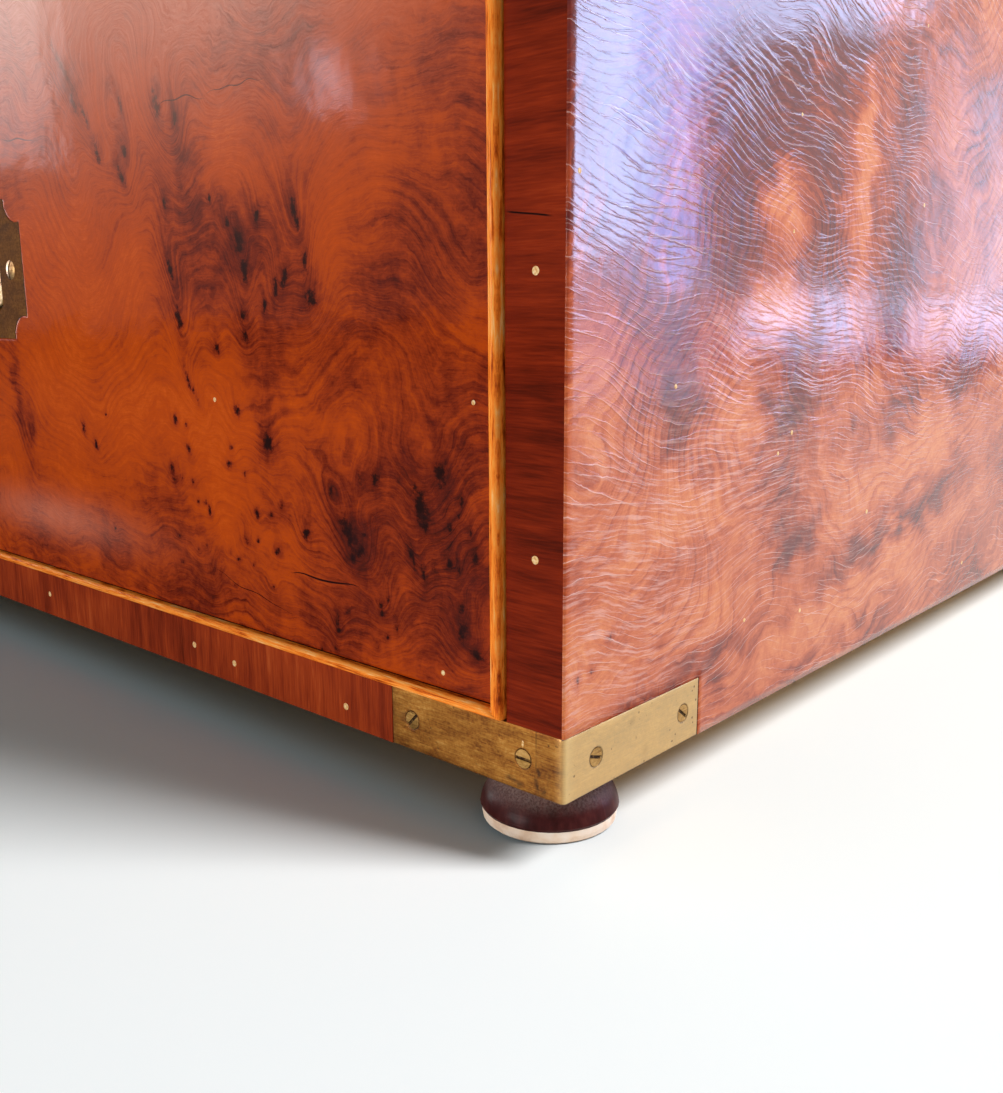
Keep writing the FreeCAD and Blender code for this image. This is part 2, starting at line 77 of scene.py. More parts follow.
class Value:
    """A number, colour or direction that a shader node gives out. The signs of arithmetic between values, or
    a value and a number, add the node that works the sum out."""

    def __init__(self, socket):
        self.socket = socket
        self.tree = socket.id_data

    def calc(self, operation, *others):
        """One step of arithmetic with other values or numbers."""
        return add(self.tree, "Math", enumerate((self, *others)), operation=operation)

    def __add__(self, other):
        return self.calc("ADD", other)

    def __sub__(self, other):
        return self.calc("SUBTRACT", other)

    def __mul__(self, other):
        return self.calc("MULTIPLY", other)

    def __truediv__(self, other):
        return self.calc("DIVIDE", other)

    def size(self):
        """The value without its sign."""
        return self.calc("ABSOLUTE")

    def or_more(self, other):
        """The larger one of two values."""
        return self.calc("MAXIMUM", other)


def add(tree, kind, feeds=(), out=0, **settings):
    """Adds one shader node and hands back what it gives out. settings are the node's own choices, and feeds
    pairs its inputs, by name or number, with a plain value or with what another node gives out."""
    made = tree.nodes.new("ShaderNode" + kind)
    for name, value in settings.items():
        setattr(made, name, value)
    for socket, value in dict(feeds).items():
        if isinstance(value, Value):
            tree.links.new(value.socket, made.inputs[socket])
        else:
            made.inputs[socket].default_value = value
    return Value(made.outputs[out]) if made.outputs else None


def new_finish(name):
    """An empty material and its node tree."""
    finish = bpy.data.materials.new(name)
    finish.use_nodes = True
    finish.node_tree.nodes.clear()
    return finish, finish.node_tree


floor_mesh = bpy.data.meshes.new("floor")
floor_corners = [(x * FLOOR_REACH, y * FLOOR_REACH, 0) for x, y in ((-1, -1), (1, -1), (1, 1), (-1, 1))]
floor_mesh.from_pydata(floor_corners, [], [(0, 1, 2, 3)])
floor = bpy.data.objects.new("floor", floor_mesh)
bpy.context.scene.collection.objects.link(floor)
floor_paint, tree = new_finish("floor_white")
add(tree, "OutputMaterial", {"Surface": add(tree, "BsdfDiffuse", {"Color": FLOOR_WHITE})})
floor_mesh.materials.append(floor_paint)

world = bpy.data.worlds.new("surround")
bpy.context.scene.world = world
world.use_nodes = True
tree = world.node_tree
tree.nodes.clear()
by_camera, by_gloss, through_glass = [
    add(tree, "LightPath", out=ray) for ray in ("Is Camera Ray", "Is Glossy Ray", "Is Transmission Ray")]
lit = add(tree, "Background", {"Color": SURROUND_TINT, "Strength": SURROUND_LIGHT})
white = add(tree, "Background", {"Color": (1, 1, 1, 1), "Strength": 1.0})
seen = by_camera.or_more(by_gloss).or_more(through_glass)
add(tree, "OutputWorld", {"Surface": add(tree, "MixShader", {0: seen, 1: lit, 2: white})})


# ---- Lamps --------------------------------------------------------------------------------------
# A broad key light far to the right throws the shadow of the chest to the left before it, and weaker ones
# stand low round it. The polish of the side and of the front mirrors the panes of cool windows.
CHEST_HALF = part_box("side_veneer_right")[1].x
CHEST_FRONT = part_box("stile_facings")[0].y
BEHIND_SIDE = Vector((2 * CHEST_HALF - CAMERA_PLACE.x, CAMERA_PLACE.y, CAMERA_PLACE.z))
BEHIND_FRONT = Vector((CAMERA_PLACE.x, 2 * CHEST_FRONT - CAMERA_PLACE.y, CAMERA_PLACE.z))
FRONT_CORNER = Vector((CHEST_HALF, CHEST_FRONT, 0.1))
DAYLIGHT = (0.45, 0.60, 1.0)


def direction(azimuth, lift):
    """The unit vector at an azimuth in degrees, from +X towards +Y, and a lift above the level."""
    azimuth, lift = math.radians(azimuth), math.radians(lift)
    return Vector((math.cos(lift) * math.cos(azimuth), math.cos(lift) * math.sin(azimuth), math.sin(lift)))


def receivers(name, state):
    """A collection that keeps a lamp's light off the floor (EXCLUDE), or on the floor alone (INCLUDE)."""
    made = bpy.data.collections.new(name)
    made.objects.link(floor)
    made.collection_objects[0].light_linking.link_state = state
    return made


ALL_BUT_FLOOR = receivers("all_but_floor", "EXCLUDE")
FLOOR_ALONE = receivers("floor_alone", "INCLUDE")


def lamp(name, seen_from, azimuths, lifts, distance, light, colour=(1, 1, 1), lights=ALL_BUT_FLOOR):
    """A flat lamp that covers a range of azimuths and of lifts as seen from a point, and faces that point.
    light is the brightness of its face, on a scale where 1 is white."""
    lamp_data = bpy.data.lights.new(name, "AREA")
    lamp_data.shape = "RECTANGLE"
    middle_azimuth, middle_lift = sum(azimuths) / 2, sum(lifts) / 2
    lamp_data.size = math.radians(azimuths[1] - azimuths[0]) * distance * math.cos(math.radians(middle_lift))
    lamp_data.size_y = math.radians(lifts[1] - lifts[0]) * distance
    lamp_data.energy = light * math.pi * lamp_data.size * lamp_data.size_y
    lamp_data.color = colour
    way = direction(middle_azimuth, middle_lift)
    holder = bpy.data.objects.new(name, lamp_data)
    bpy.context.scene.collection.objects.link(holder)
    holder.light_linking.receiver_collection = lights
    holder.matrix_world = (Matrix.Translation(seen_from + way * distance)
                           @ way.to_track_quat("Z", "Y").to_matrix().to_4x4())


lamp("key_light", FRONT_CORNER, (15, 41), (35, 61), 2.6, 22.0, lights=None)
lamp("key_on_floor", FRONT_CORNER, (18, 38), (38, 58), 2.6, 9.6, (0.93, 0.97, 1.0), FLOOR_ALONE)
lamp("sky_on_floor", FRONT_CORNER, (-170, -110), (20, 60), 2.6, 0.62, (0.72, 0.92, 1.0), FLOOR_ALONE)
lamp("front_light", FRONT_CORNER, (-120, -88), (0, 9), 2.6, 18.5)
lamp("left_light", FRONT_CORNER, (165, 195), (0, 9), 3.4, 9.0)
lamp("back_light", FRONT_CORNER, (95, 135), (0, 9), 3.4, 8.0)
lamp("small_pane", BEHIND_FRONT, (-140.9, -139.3), (9.4, 12.0), 2.6, 34.0, (0.9, 0.84, 1.0))
lamp("far_pane", BEHIND_FRONT, (-160, -152.6), (6.5, 17), 2.6, 9.0, (1.0, 0.92, 1.0))
lamp("left_window", BEHIND_SIDE, (50.5, 55.8), (2.5, 30), 1.9, 15.2, DAYLIGHT)
lamp("window_edge", BEHIND_SIDE, (55.8, 57.9), (1, 30), 1.9, 10.5, (0.24, 0.38, 1.0))
lamp("left_window_foot", BEHIND_SIDE, (50.5, 58.5), (-7, 2.5), 1.9, 3.0, DAYLIGHT)
lamp("window_head", BEHIND_SIDE, (57.5, 68), (12.5, 30), 2.0, 7.4, DAYLIGHT)
lamp("window_bar", BEHIND_SIDE, (69, 70.2), (1, 12), 2.1, 2.6, DAYLIGHT)
lamp("right_window", BEHIND_SIDE, (71, 74.5), (0.4, 10), 2.1, 2.7, DAYLIGHT)
lamp("window_sill", BEHIND_SIDE, (60.2, 66.4), (-2.2, 0.5), 2.1, 7.6, DAYLIGHT)
lamp("far_sill", BEHIND_SIDE, (68.4, 74.5), (-2.2, 0.4), 2.1, 4.4, DAYLIGHT)

bpy.context.scene.view_settings.view_transform = "Standard"


# ---- Carcass boards -----------------------------------------------------------------------------
# Plain straight-grained boards, housed into each other and left bare. They carry the veneers and
# facings, and show from behind and from below, and where a drawer is pulled out.
MM = 0.001


def paint(code):
    """A colour written as six hex digits, as the numbers that a shader takes."""
    parts = [int(code[place:place + 2], 16) / 255 for place in (0, 2, 4)]
    return (*[part / 12.92 if part < 0.04045 else ((part + 0.055) / 1.055) ** 2.4 for part in parts], 1)


def ramp(value, *stops):
    """A run of colours along a number: each stop is a place and a hex colour."""
    made = add(value.tree, "ValToRGB", {0: value}, out="Color")
    bar = made.socket.node.color_ramp.elements
    while len(bar) < len(stops):
        bar.new(0.5)
    for element, (place, code) in zip(bar, stops):
        element.position = place
        element.color = paint(code)
    return made


def in_range(value, low, high, to_low=0.0, to_high=1.0):
    """A number carried from the range low to high onto the range to_low to to_high, eased and kept in it."""
    return add(value.tree, "MapRange", {0: value, 1: low, 2: high, 3: to_low, 4: to_high},
               interpolation_type="SMOOTHSTEP")


def spots(where, scale, detail=2.0, roughness=0.5, distortion=0.0):
    """Smooth random noise from 0 to 1; scale is the number of spots in a metre."""
    return add(where.tree, "TexNoise", {"Vector": where, "Scale": scale, "Detail": detail,
                                        "Roughness": roughness, "Distortion": distortion})


def stretched(where, x, y, z):
    """The place with its three directions scaled, to draw a pattern out along one of them."""
    return add(where.tree, "VectorMath", {0: where, 1: (x, y, z)}, operation="MULTIPLY")


def drawn_along(where, axis, share):
    """The place scaled by share along one axis, which draws a pattern out along it."""
    return stretched(where, *[share if letter == axis else 1.0 for letter in "XYZ"])


def blend_colours(share, first, second):
    """One colour laid over another in a share from 0 to 1."""
    return add(share.tree, "Mix", {0: share, 6: first, 7: second}, out=2, data_type="RGBA")


def bumped(height, strength, distance):
    """The lean that a relief gives to the surface, where 1 rises by a distance in metres."""
    return add(height.tree, "Bump", {"Height": height, "Strength": strength, "Distance": distance})


def surfaced(finish, colour, roughness, gloss=0.5, lean=None, metal=0.0, coat=0.0, coat_roughness=0.03,
             coat_lean=None):
    """Ends a material with its surface. gloss is that of the stuff itself, and coat is a clear polish."""
    feeds = {"Base Color": colour, "Roughness": roughness, "Specular IOR Level": gloss, "Metallic": metal,
             "Coat Weight": coat, "Coat Roughness": coat_roughness}
    feeds.update({socket: value for socket, value in (("Normal", lean), ("Coat Normal", coat_lean)) if value})
    add(finish.node_tree, "OutputMaterial", {"Surface": add(finish.node_tree, "BsdfPrincipled", feeds)})
    return finish


def plain_wood(name, along, codes, roughness=0.55, lines=420):
    """Straight-grained wood. along is the axis of the grain, and the fibres are noise drawn out along it."""
    finish, tree = new_finish(name)
    drawn = drawn_along(add(tree, "TexCoord", out="Object"), along, 0.035)
    fibres = spots(drawn, lines, 4, 0.65)
    bands = spots(drawn, lines / 9, 2, 0.5, 0.6)
    colour = ramp(fibres * 0.45 + bands * 0.55, *zip((0.3, 0.5, 0.7), codes))
    return surfaced(finish, colour, roughness, 0.3, bumped(fibres, 0.25, 0.0003))


def dress(finish, *nodes):
    """Gives CAD nodes their finish."""
    for name in nodes:
        slots = chest[name].data.materials
        slots.clear()
        slots.append(finish)


PINE = ("9c7146", "c39a68", "dcbb8c")
dress(plain_wood("pine_upright", "Z", PINE), "side_board_left", "side_board_right")
dress(plain_wood("pine_across", "X", PINE), "top_board", "bottom_board", "bottom_rail",
      "lower_divider_rail", "upper_divider_rail")
dress(plain_wood("beech_runner", "Y", ("a97a4d", "c4986a", "d6b086"), 0.45), "drawer_runners")
dress(plain_wood("beech_stop", "X", ("9a6c42", "b98a5b", "cfa678"), 0.5), "drawer_stops")
ply_across = plain_wood("ply_across", "X", ("a58658", "c7a877", "dcc397"), 0.6, 260)
dress(ply_across, "lower_dust_board", "upper_dust_board", "back_panel")


# ---- Burr veneer on the sides, the top and the drawer fronts ------------------------------------
# Sheets of burr yew, 0.8 mm thick, glued down before the brass is let in. The growth lines wander round
# dark eyes and soft stains, and an old glossy polish lies over them, crazed on the sides and the top.
# Pale veils of painted reflection in the colour stand for window light mirrored in that polish.
VENEER = 0.8
LET_IN = 0.6            # how far a sheet is sunk under the brass that lies on it
CRISP = 0.3             # how quickly it sinks at the edge of the brass
ARRIS = 0.6
STRAP_HEIGHT = 19.0
STRAP_LEG = 67.5
PLATE_WIDTH = 102.0
PLATE_HEIGHT = 56.4
SCOOP = 9.4             # radius of the scooped corners of a handle plate
SCOOP_FLAT = 3.4
PAN_HOLE = (34.0, 19.6)  # half width and half height of the hole for the pan of a handle
DIRT_WIDTH = 0.3        # half width of the dark line round what is let in
FULL_TURN = 6.283       # in radians
BACK_STEP = 8           # the back of a sheet has every eighth of the lines of its face
RING_STEP = 4.9         # from one growth line to the next
CRAZE_PACE = 0.36       # how many cells of crazing lie in a millimetre
CRAZE_LINE = 0.065      # half width of a fine crack of the polish, in such cells
CRAZE_RIDGE = 0.24      # half width of the ridge that stands along it, in such cells


def grid_lines(low, high, step, exact):
    """Lines about step apart from low to high, with the exact ones among them and none crowding those."""
    plain = np.linspace(low, high, round((high - low) / step) + 1)
    kept = np.unique(np.round(np.append(exact, (low, high)), 4))
    clear = np.abs(plain[:, None] - kept).min(axis=1) > 0.45 * step
    return np.sort(np.append(plain[clear], kept))


def line_at(lines, place):
    """The number of the line that lies nearest to a place."""
    return int(np.abs(lines - place).argmin())


def joined_quads(first, second, third, fourth, where=...):
    """Four-sided faces whose corners are read from four arrays of point numbers, wherever where is true."""
    return np.stack([corner[where].ravel() for corner in (first, second, third, fourth)], axis=1).tolist()


def closed_sheet(face, back, holes=(), bends=(), **fields):
    """A thin closed shell. face and back are (rows, columns, 3) arrays of points in millimetres, seen from
    outside with rows going up and columns to the right. The face has every cell outside the holes, given as
    (row, row, column, column). The back has only every eighth line, the edges and the bends, and walls join
    the two wherever cells end. fields are numbers for each point. It hands back what a piece takes."""
    rows, columns = face.shape[:2]
    cells = np.ones((rows - 1, columns - 1), bool)
    row_lines = {0, rows - 1, *range(0, rows, BACK_STEP)}
    column_lines = {0, columns - 1, *range(0, columns, BACK_STEP), *bends}
    for low_row, high_row, low_column, high_column in holes:
        cells[low_row:high_row, low_column:high_column] = False
        row_lines |= {low_row, high_row}
        column_lines |= {low_column, high_column}
    row_lines, column_lines = sorted(row_lines), sorted(column_lines)
    ringed = np.pad(cells, 1)
    beside = ringed[:-1, :-1].astype(int) + ringed[1:, :-1] + ringed[:-1, 1:] + ringed[1:, 1:]
    on_face = beside > 0
    on_back = on_face & (beside < 4)
    crossings = np.ix_(row_lines, column_lines)
    on_back[crossings] |= on_face[crossings]
    fore = np.cumsum(on_face).reshape(rows, columns) - 1
    rear = np.cumsum(on_back).reshape(rows, columns) - 1 + on_face.sum()

    faces = joined_quads(fore[:-1, :-1], fore[:-1, 1:], fore[1:, 1:], fore[1:, :-1], cells)
    smooth = len(faces)
    under, over = ringed[:-1, 1:-1], ringed[1:, 1:-1]
    before, after = ringed[1:-1, :-1], ringed[1:-1, 1:]
    faces += joined_quads(fore[:, 1:], fore[:, :-1], rear[:, :-1], rear[:, 1:], over & ~under)
    faces += joined_quads(fore[:, :-1], fore[:, 1:], rear[:, 1:], rear[:, :-1], under & ~over)
    faces += joined_quads(fore[1:], fore[:-1], rear[:-1], rear[1:], before & ~after)
    faces += joined_quads(fore[:-1], fore[1:], rear[1:], rear[:-1], after & ~before)
    for r0, r1 in zip(row_lines[:-1], row_lines[1:]):
        for c0, c1 in zip(column_lines[:-1], column_lines[1:]):
            if not cells[r0, c0]:
                continue
            way = ([(r0, c) for c in range(c0, c1)] + [(r, c1) for r in range(r0, r1)]
                   + [(r1, c) for c in range(c1, c0, -1)] + [(r, c0) for r in range(r1, r0, -1)])
            faces.append([int(rear[spot]) for spot in way[::-1] if on_back[spot]])
    fields = {field: np.concatenate([values[on_face], values[on_back]]) for field, values in fields.items()}
    return np.concatenate([face[on_face], back[on_back]]), faces, smooth, fields


def piece(name, shells, finish, body, node=None):
    """A new piece on a body, which may stand for a CAD node. It is made of closed shells, and each of these
    is its points in millimetres, its faces, how many of them are smooth, and its numbers for each point."""
    faces, smooth, start = [], [], 0
    for points, shell_faces, shell_smooth, fields in shells:
        faces += [[corner + start for corner in face] for face in shell_faces]
        smooth += [count < shell_smooth for count in range(len(shell_faces))]
        start += len(points)
    mesh = bpy.data.meshes.new(name)
    mesh.from_pydata((np.concatenate([shell[0] for shell in shells]) * MM).tolist(), [], faces)
    mesh.polygons.foreach_set("use_smooth", smooth)
    for field in shells[0][3]:
        values = np.concatenate([shell[3][field] for shell in shells]).astype(np.float32)
        mesh.attributes.new(field, "FLOAT", "POINT").data.foreach_set("value", values)
    mesh.materials.append(finish)
    mesh.update()
    made = bpy.data.objects.new(name, mesh)
    bpy.context.scene.collection.objects.link(made)
    if node:
        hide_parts(node)
    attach(made, body)
    return made


def drift(across, up, seed, length, count=10):
    """A smooth random surface of height about 1: the sum of sine waves of about one length, every way."""
    rng = np.random.default_rng(seed)
    total = np.zeros_like(across)
    for turn, start, pace in rng.uniform((0, 0, 0.65), (FULL_TURN, FULL_TURN, 1.5), (count, 3)):
        run = across * math.cos(turn) + up * math.sin(turn)
        total += np.sin(run * FULL_TURN / (length * pace) + start)
    return total / math.sqrt(count / 2)


def unevenness(across, up, seed, length):
    """How deep an old surface lies below its true plane, in millimetres."""
    return 0.03 * (1 + 0.5 * drift(across, up, seed, length))


def leaning(across, up, x, z, wide, tall, lean):
    """Distance from (x, z) in the radii of an ellipse, wide by tall, whose top leans lean degrees left."""
    turn = math.radians(lean)
    along = (across - x) * math.cos(turn) + (up - z) * math.sin(turn)
    over = (up - z) * math.cos(turn) - (across - x) * math.sin(turn)
    return np.hypot(along / wide, over / tall)


def swell(across, up, hills):
    """The sum of soft round hills, each (x, z, wide, tall, lean, rise) and falling off as a bell curve."""
    total = np.zeros_like(across)
    for x, z, wide, tall, lean, rise in hills:
        total += rise * np.exp(-leaning(across, up, x, z, wide, tall, lean) ** 2)
    return total


def cracks(across, up, lines):
    """Signed distance to the nearest crack in half widths of that crack. Each is (x, z, x, z, half width,
    wander): a line between two points that wanders from side to side and tapers to nothing at its ends."""
    best = np.full_like(across, 90.0)
    for number, (x0, z0, x1, z1, half, wander) in enumerate(lines):
        length = math.hypot(x1 - x0, z1 - z0)
        run = ((across - x0) * (x1 - x0) + (up - z0) * (z1 - z0)) / length
        side = ((up - z0) * (x1 - x0) - (across - x0) * (z1 - z0)) / length
        side = side + wander * drift(run, 0 * run, 50 + number, length * 0.4, 5)
        width = half * np.clip(1 - (2 * run / length - 1) ** 2, 0.002, 1)
        reach = side / width
        best = np.where(np.abs(reach) < np.abs(best), reach, best)
    return np.clip(best, -90, 90)


def burr_figure(across, up, seed, slope, hills, patches, eyes, splits=(), painted_reflections=(), fall=0.0):
    """The drawing of one sheet: rings is the height in millimetres whose level lines are the growth lines,
    and they part around the eyes; eyes is the distance to the nearest eye; tone is bright above 0 and dark
    below; split is the distance to the nearest crack; flow is the height whose level lines the crazing of
    the polish follows, which falls to the right by fall; bloom is how much of a pale veil is
    painted over the wood, where it stands for window light mirrored in the polish."""
    wander = 0.5 * drift(across, up, seed, 16, 8)
    rings = slope[0] * across + slope[1] * up + swell(across, up, hills)
    rings = rings + 5.0 * drift(across, up, seed + 1, 95) + 2.0 * drift(across, up, seed + 2, 34)
    nearest = np.full_like(across, 9.0)
    stain = np.zeros_like(across)
    for x, z, wide, tall, lean in eyes:
        reach = leaning(across, up, x, z, wide, tall, lean)
        nearest = np.minimum(nearest, reach)
        rings = rings + 1.7 * (wide + tall) * np.exp(-(reach / 3.2) ** 2)
        stain = stain + np.exp(-(reach / 2.6) ** 2)
    tone = swell(across + 5 * wander, up - 4 * wander, patches) - 0.09 * np.minimum(stain, 2.2)
    tone = tone + 0.16 * drift(across, up, seed + 3, 70)
    flow = up + fall * across * np.clip((up - 60) / 150, 0, 1)
    flow = flow + 4 * drift(across, up, seed + 4, 150) + 1.6 * drift(across, up, seed + 5, 60)
    return {"rings": rings, "eyes": nearest, "tone": tone, "split": cracks(across, up, splits), "flow": flow,
            "bloom": swell(across, up, painted_reflections)}


def scattered_eyes(seed, clusters):
    """Eyes strewn around the middle of each cluster, given as (x, z, spread, count)."""
    rng = np.random.default_rng(seed)
    eyes = []
    for x, z, spread, count in clusters:
        for number in range(count):
            across, over = rng.normal(0, spread, 2)
            wide = rng.uniform(0.6, 1.9)
            eyes.append((x + across, z + over, wide, wide * rng.uniform(1.0, 2.4), rng.uniform(-10, 40)))
    return eyes


def plate_inside(across, up):
    """How far a point lies inside the outline of a handle plate centred on 0, 0; below 0 it lies outside."""
    x, z = np.abs(across), np.abs(up)
    scoop_x = PLATE_WIDTH / 2 - SCOOP_FLAT
    inside = np.minimum(PLATE_WIDTH / 2 - x, PLATE_HEIGHT / 2 - z)
    inside = np.minimum(inside, np.hypot(x - scoop_x, z - PLATE_HEIGHT / 2) - SCOOP)
    return np.minimum(inside, np.maximum(scoop_x - x, PLATE_HEIGHT / 2 - SCOOP - z))


def plate_lines(middle, size, inner):
    """Grid lines on the edges of a handle plate and of its pan hole, with close ones at the scoops."""
    edges = np.array([size / 2, size / 2 - CRISP, inner])
    near = size / 2 - np.arange(1.0, SCOOP + SCOOP_FLAT + 2, 1.0)
    one_side = np.concatenate([edges, near])
    return middle + np.concatenate([-one_side, one_side])


def let_in_edge(figure, *insides):
    """Darkens the figure of a sheet in a hair's breadth along the edges of what is let into it, where dirt
    and no polish lies: insides are the distances inside each edge."""
    from_edge = np.min(np.abs(insides), axis=0)
    figure["split"] = np.where(from_edge < 1.0, from_edge / DIRT_WIDTH, figure["split"])
    figure["worn"] = np.maximum(figure.get("worn", 0.0), np.clip(1.3 - from_edge / DIRT_WIDTH, 0, 1))


def sink(inside):
    """Depth of a sheet under brass: nothing at the edge of the brass and the full depth just inside it."""
    return LET_IN * np.clip(inside / CRISP, 0, 1)


def flipped(face, back, fields):
    """A sheet with its columns in the other order, so that its mirror image still faces outwards."""
    return face[:, ::-1], back[:, ::-1], {field: values[:, ::-1] for field, values in fields.items()}


def hole_cells(columns, rows, middle_x, middle_z):
    """The cells that the pan of a handle takes out of a grid."""
    return (*[line_at(rows, middle_z + side * PAN_HOLE[1]) for side in (-1, 1)],
            *[line_at(columns, middle_x + side * PAN_HOLE[0]) for side in (-1, 1)])


def attribute(tree, name):
    """The numbers that a piece keeps for each of its points under a name."""
    return add(tree, "Attribute", out="Fac", attribute_name=name)


def burr_finish(name, codes, coat, contrast, plum, wander, ring_share, faintest, ripple, crazed=0.0):
    """Burr yew under polish. The growth lines are a saw-tooth of the rings height, roughened by noise, and
    fade in and out. The fibres are noise drawn out along the same lines, over a fine level grain. Eyes,
    stains and cracks come from their attributes, and so does a pale veil of painted reflection, by the
    attribute bloom. contrast is that of the figure, plum how cold its dark parts are, wander
    how far the growth lines stray in millimetres, ring_share and faintest how strong they are at most and
    at least, ripple how uneven the polish lies, and crazed how white its fine cracks look, which is partly
    the whitening of crazed polish and partly a painted highlight: they are the borders of long cells, drawn
    out along the level lines of the flow height."""
    finish, tree = new_finish(name)
    place = add(tree, "TexCoord", out="Object")
    rings, eyes, tone, split, flow, bloom, worn = [
        attribute(tree, field) for field in ("rings", "eyes", "tone", "split", "flow", "bloom", "worn")]
    sideways = add(tree, "VectorMath", {0: place, 1: (1, 1, 0)}, operation="DOT_PRODUCT", out="Value")
    upwards = add(tree, "SeparateXYZ", {0: place}, out="Z")

    def drawn_out(along, height, share, detail, roughness):
        """Noise in long strokes: along strokes in a metre, on level lines of a height taken share times."""
        where = add(tree, "CombineXYZ", {"X": sideways * along, "Y": height * share, "Z": 0.0})
        return spots(where, 1.0, detail, roughness)

    def stray(reach, *noise):
        """Noise about nought, whose highest lies reach above its lowest."""
        return (spots(place, *noise) - 0.5) * reach

    height = rings + stray(wander, 34, 3) + stray(3.4, 190, 4, 0.6)
    pace = height / RING_STEP + spots(place, 17, 2) * 2.2
    ring = ramp(pace.calc("FRACT"), (0.0, "8a8a8a"), (0.5, "989898"), (0.80, "6e6e6e"), (0.92, "303030"),
                (1.0, "8a8a8a"))
    fade = in_range(spots(place, 27, 3), 0.40, 0.64, faintest, 1.0)
    fibres = drawn_out(140, height, 1.5, 5, 0.72)
    streaks = drawn_out(24, height, 0.36, 4, 0.62)
    grain = drawn_out(150, height * 0.23 + upwards / MM, 1.5, 3, 0.6)
    stained = tone + stray(1.7, 46, 5, 0.66, 0.4) + (streaks - 0.5) * 1.4
    shade = in_range(stained, -0.95, 0.95, 0.5 - 0.27 * contrast, 0.5 + 0.27 * contrast)
    shade = shade + (ring - 0.25) * fade * ring_share
    shade = shade + (fibres - 0.5) * (0.36 * contrast) + (grain - 0.5) * (0.20 * contrast)
    shade = shade + stray(0.32 * contrast, 260, 4, 0.7, 0.6)
    reach = eyes + stray(2.4, 420, 3, 0.7)
    shade = shade * in_range(reach, 0.15, 1.05, 0.14, 1.0) * in_range(reach, 0.7, 2.4, 0.80, 1.0)
    shade = shade * in_range(split.size(), 0.7, 1.6, 0.08, 1.0)
    colour = ramp(shade, *zip((0.0, 0.14, 0.30, 0.45, 0.58, 0.72, 0.86, 1.0), codes))
    colour = blend_colours(in_range(stained, -1.1, -0.1, plum, 0.0), colour, paint("5c2c30"))

    warped = flow + spots(place, 24, 2) * 6.0 + spots(place, 240, 3) * 1.2
    ripples = drawn_out(70, warped, 0.85, 4, 0.62)
    relief = grain * 0.05 + spots(place, 70, 2) * 1.1 + spots(place, 26, 2) * 2.4 + ripples * ripple
    skin = fibres + grain
    if crazed:
        borders = []
        for lean, start in ((0.10, 0.0), (-0.07, 40.0)):
            line = warped + start + sideways * (lean / MM)
            border = add(tree, "TexVoronoi", {"W": line * CRAZE_PACE, "Scale": 1.0}, out="Distance",
                         feature="DISTANCE_TO_EDGE", voronoi_dimensions="1D")
            borders.append((border, in_range(drawn_out(38, line, 0.9, 4, 0.58), 0.46, 0.60)))
        patchy = in_range(spots(place, 34, 3, 0.6), 0.34, 0.56, 0.45, 1.0)
        craze, ridge = [patchy * first.or_more(second) for first, second in [
            [in_range(border, 0.0, width, 1.0, 0.0) * broken for border, broken in borders]
            for width in (CRAZE_LINE, CRAZE_RIDGE)]]
        relief = relief + ridge * 0.32
        skin = skin + ridge * 1.3
        # Painted reflection: a pale veil along the ripples of the polish, where window light is mirrored in
        # it.
        colour = blend_colours(bloom * in_range(ripples, 0.46, 0.68, 0.0, 0.5), colour, paint("ecbcae"))
        # The fine cracks are painted pale: partly the whitening of crazed polish, partly a painted highlight
        # on them.
        colour = blend_colours(craze * crazed, colour, paint("efc8bc"))
    else:
        # Painted reflection: a pale veil over the fibres, where window light is mirrored in the polish.
        colour = blend_colours(bloom * in_range(fibres, 0.2, 0.8, 0.65, 1.2), colour, paint("e8b09e"))
    return surfaced(finish, colour, 0.5, 0.0, bumped(skin, 0.5, 0.00014), coat=worn * -coat + coat,
                    coat_roughness=0.085, coat_lean=bumped(relief, 1.0, 0.00011))


BURR_CODES = ("120504", "340e06", "6a1e0b", "923211", "ac400f", "b9460b", "c95412", "e07c38")
SIDE_CODES = ("2a0e0a", "561b13", "822f1c", "a54627", "be5c35", "d07344", "de8b54", "eeaa72")
front_burr = burr_finish("burr_front", BURR_CODES, 0.12, 0.95, 0.12, 9.0, 0.42, 0.25, 0.05)
side_burr = burr_finish("burr_side", SIDE_CODES, 1.0, 0.85, 0.6, 4.0, 0.75, 0.3, 0.21, crazed=0.5)

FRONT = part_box("stile_facings")[0].y / MM
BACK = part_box("side_veneer_right")[1].y / MM
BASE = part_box("side_veneer_right")[0].z / MM
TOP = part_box("side_veneer_right")[1].z / MM
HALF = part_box("side_veneer_right")[1].x / MM
DEPTH = BACK - FRONT
SIDE_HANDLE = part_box("side_handle_plate_right")
SIDE_HANDLE_Y = (SIDE_HANDLE[0].y + SIDE_HANDLE[1].y) / 2 / MM
SIDE_HANDLE_Z = (SIDE_HANDLE[0].z + SIDE_HANDLE[1].z) / 2 / MM
SIDE_SLOPE = (-0.2, 0.75)   # how fast the rings height grows to the right and upwards
SIDE_FALL = 0.22            # how far the crazing falls to the right

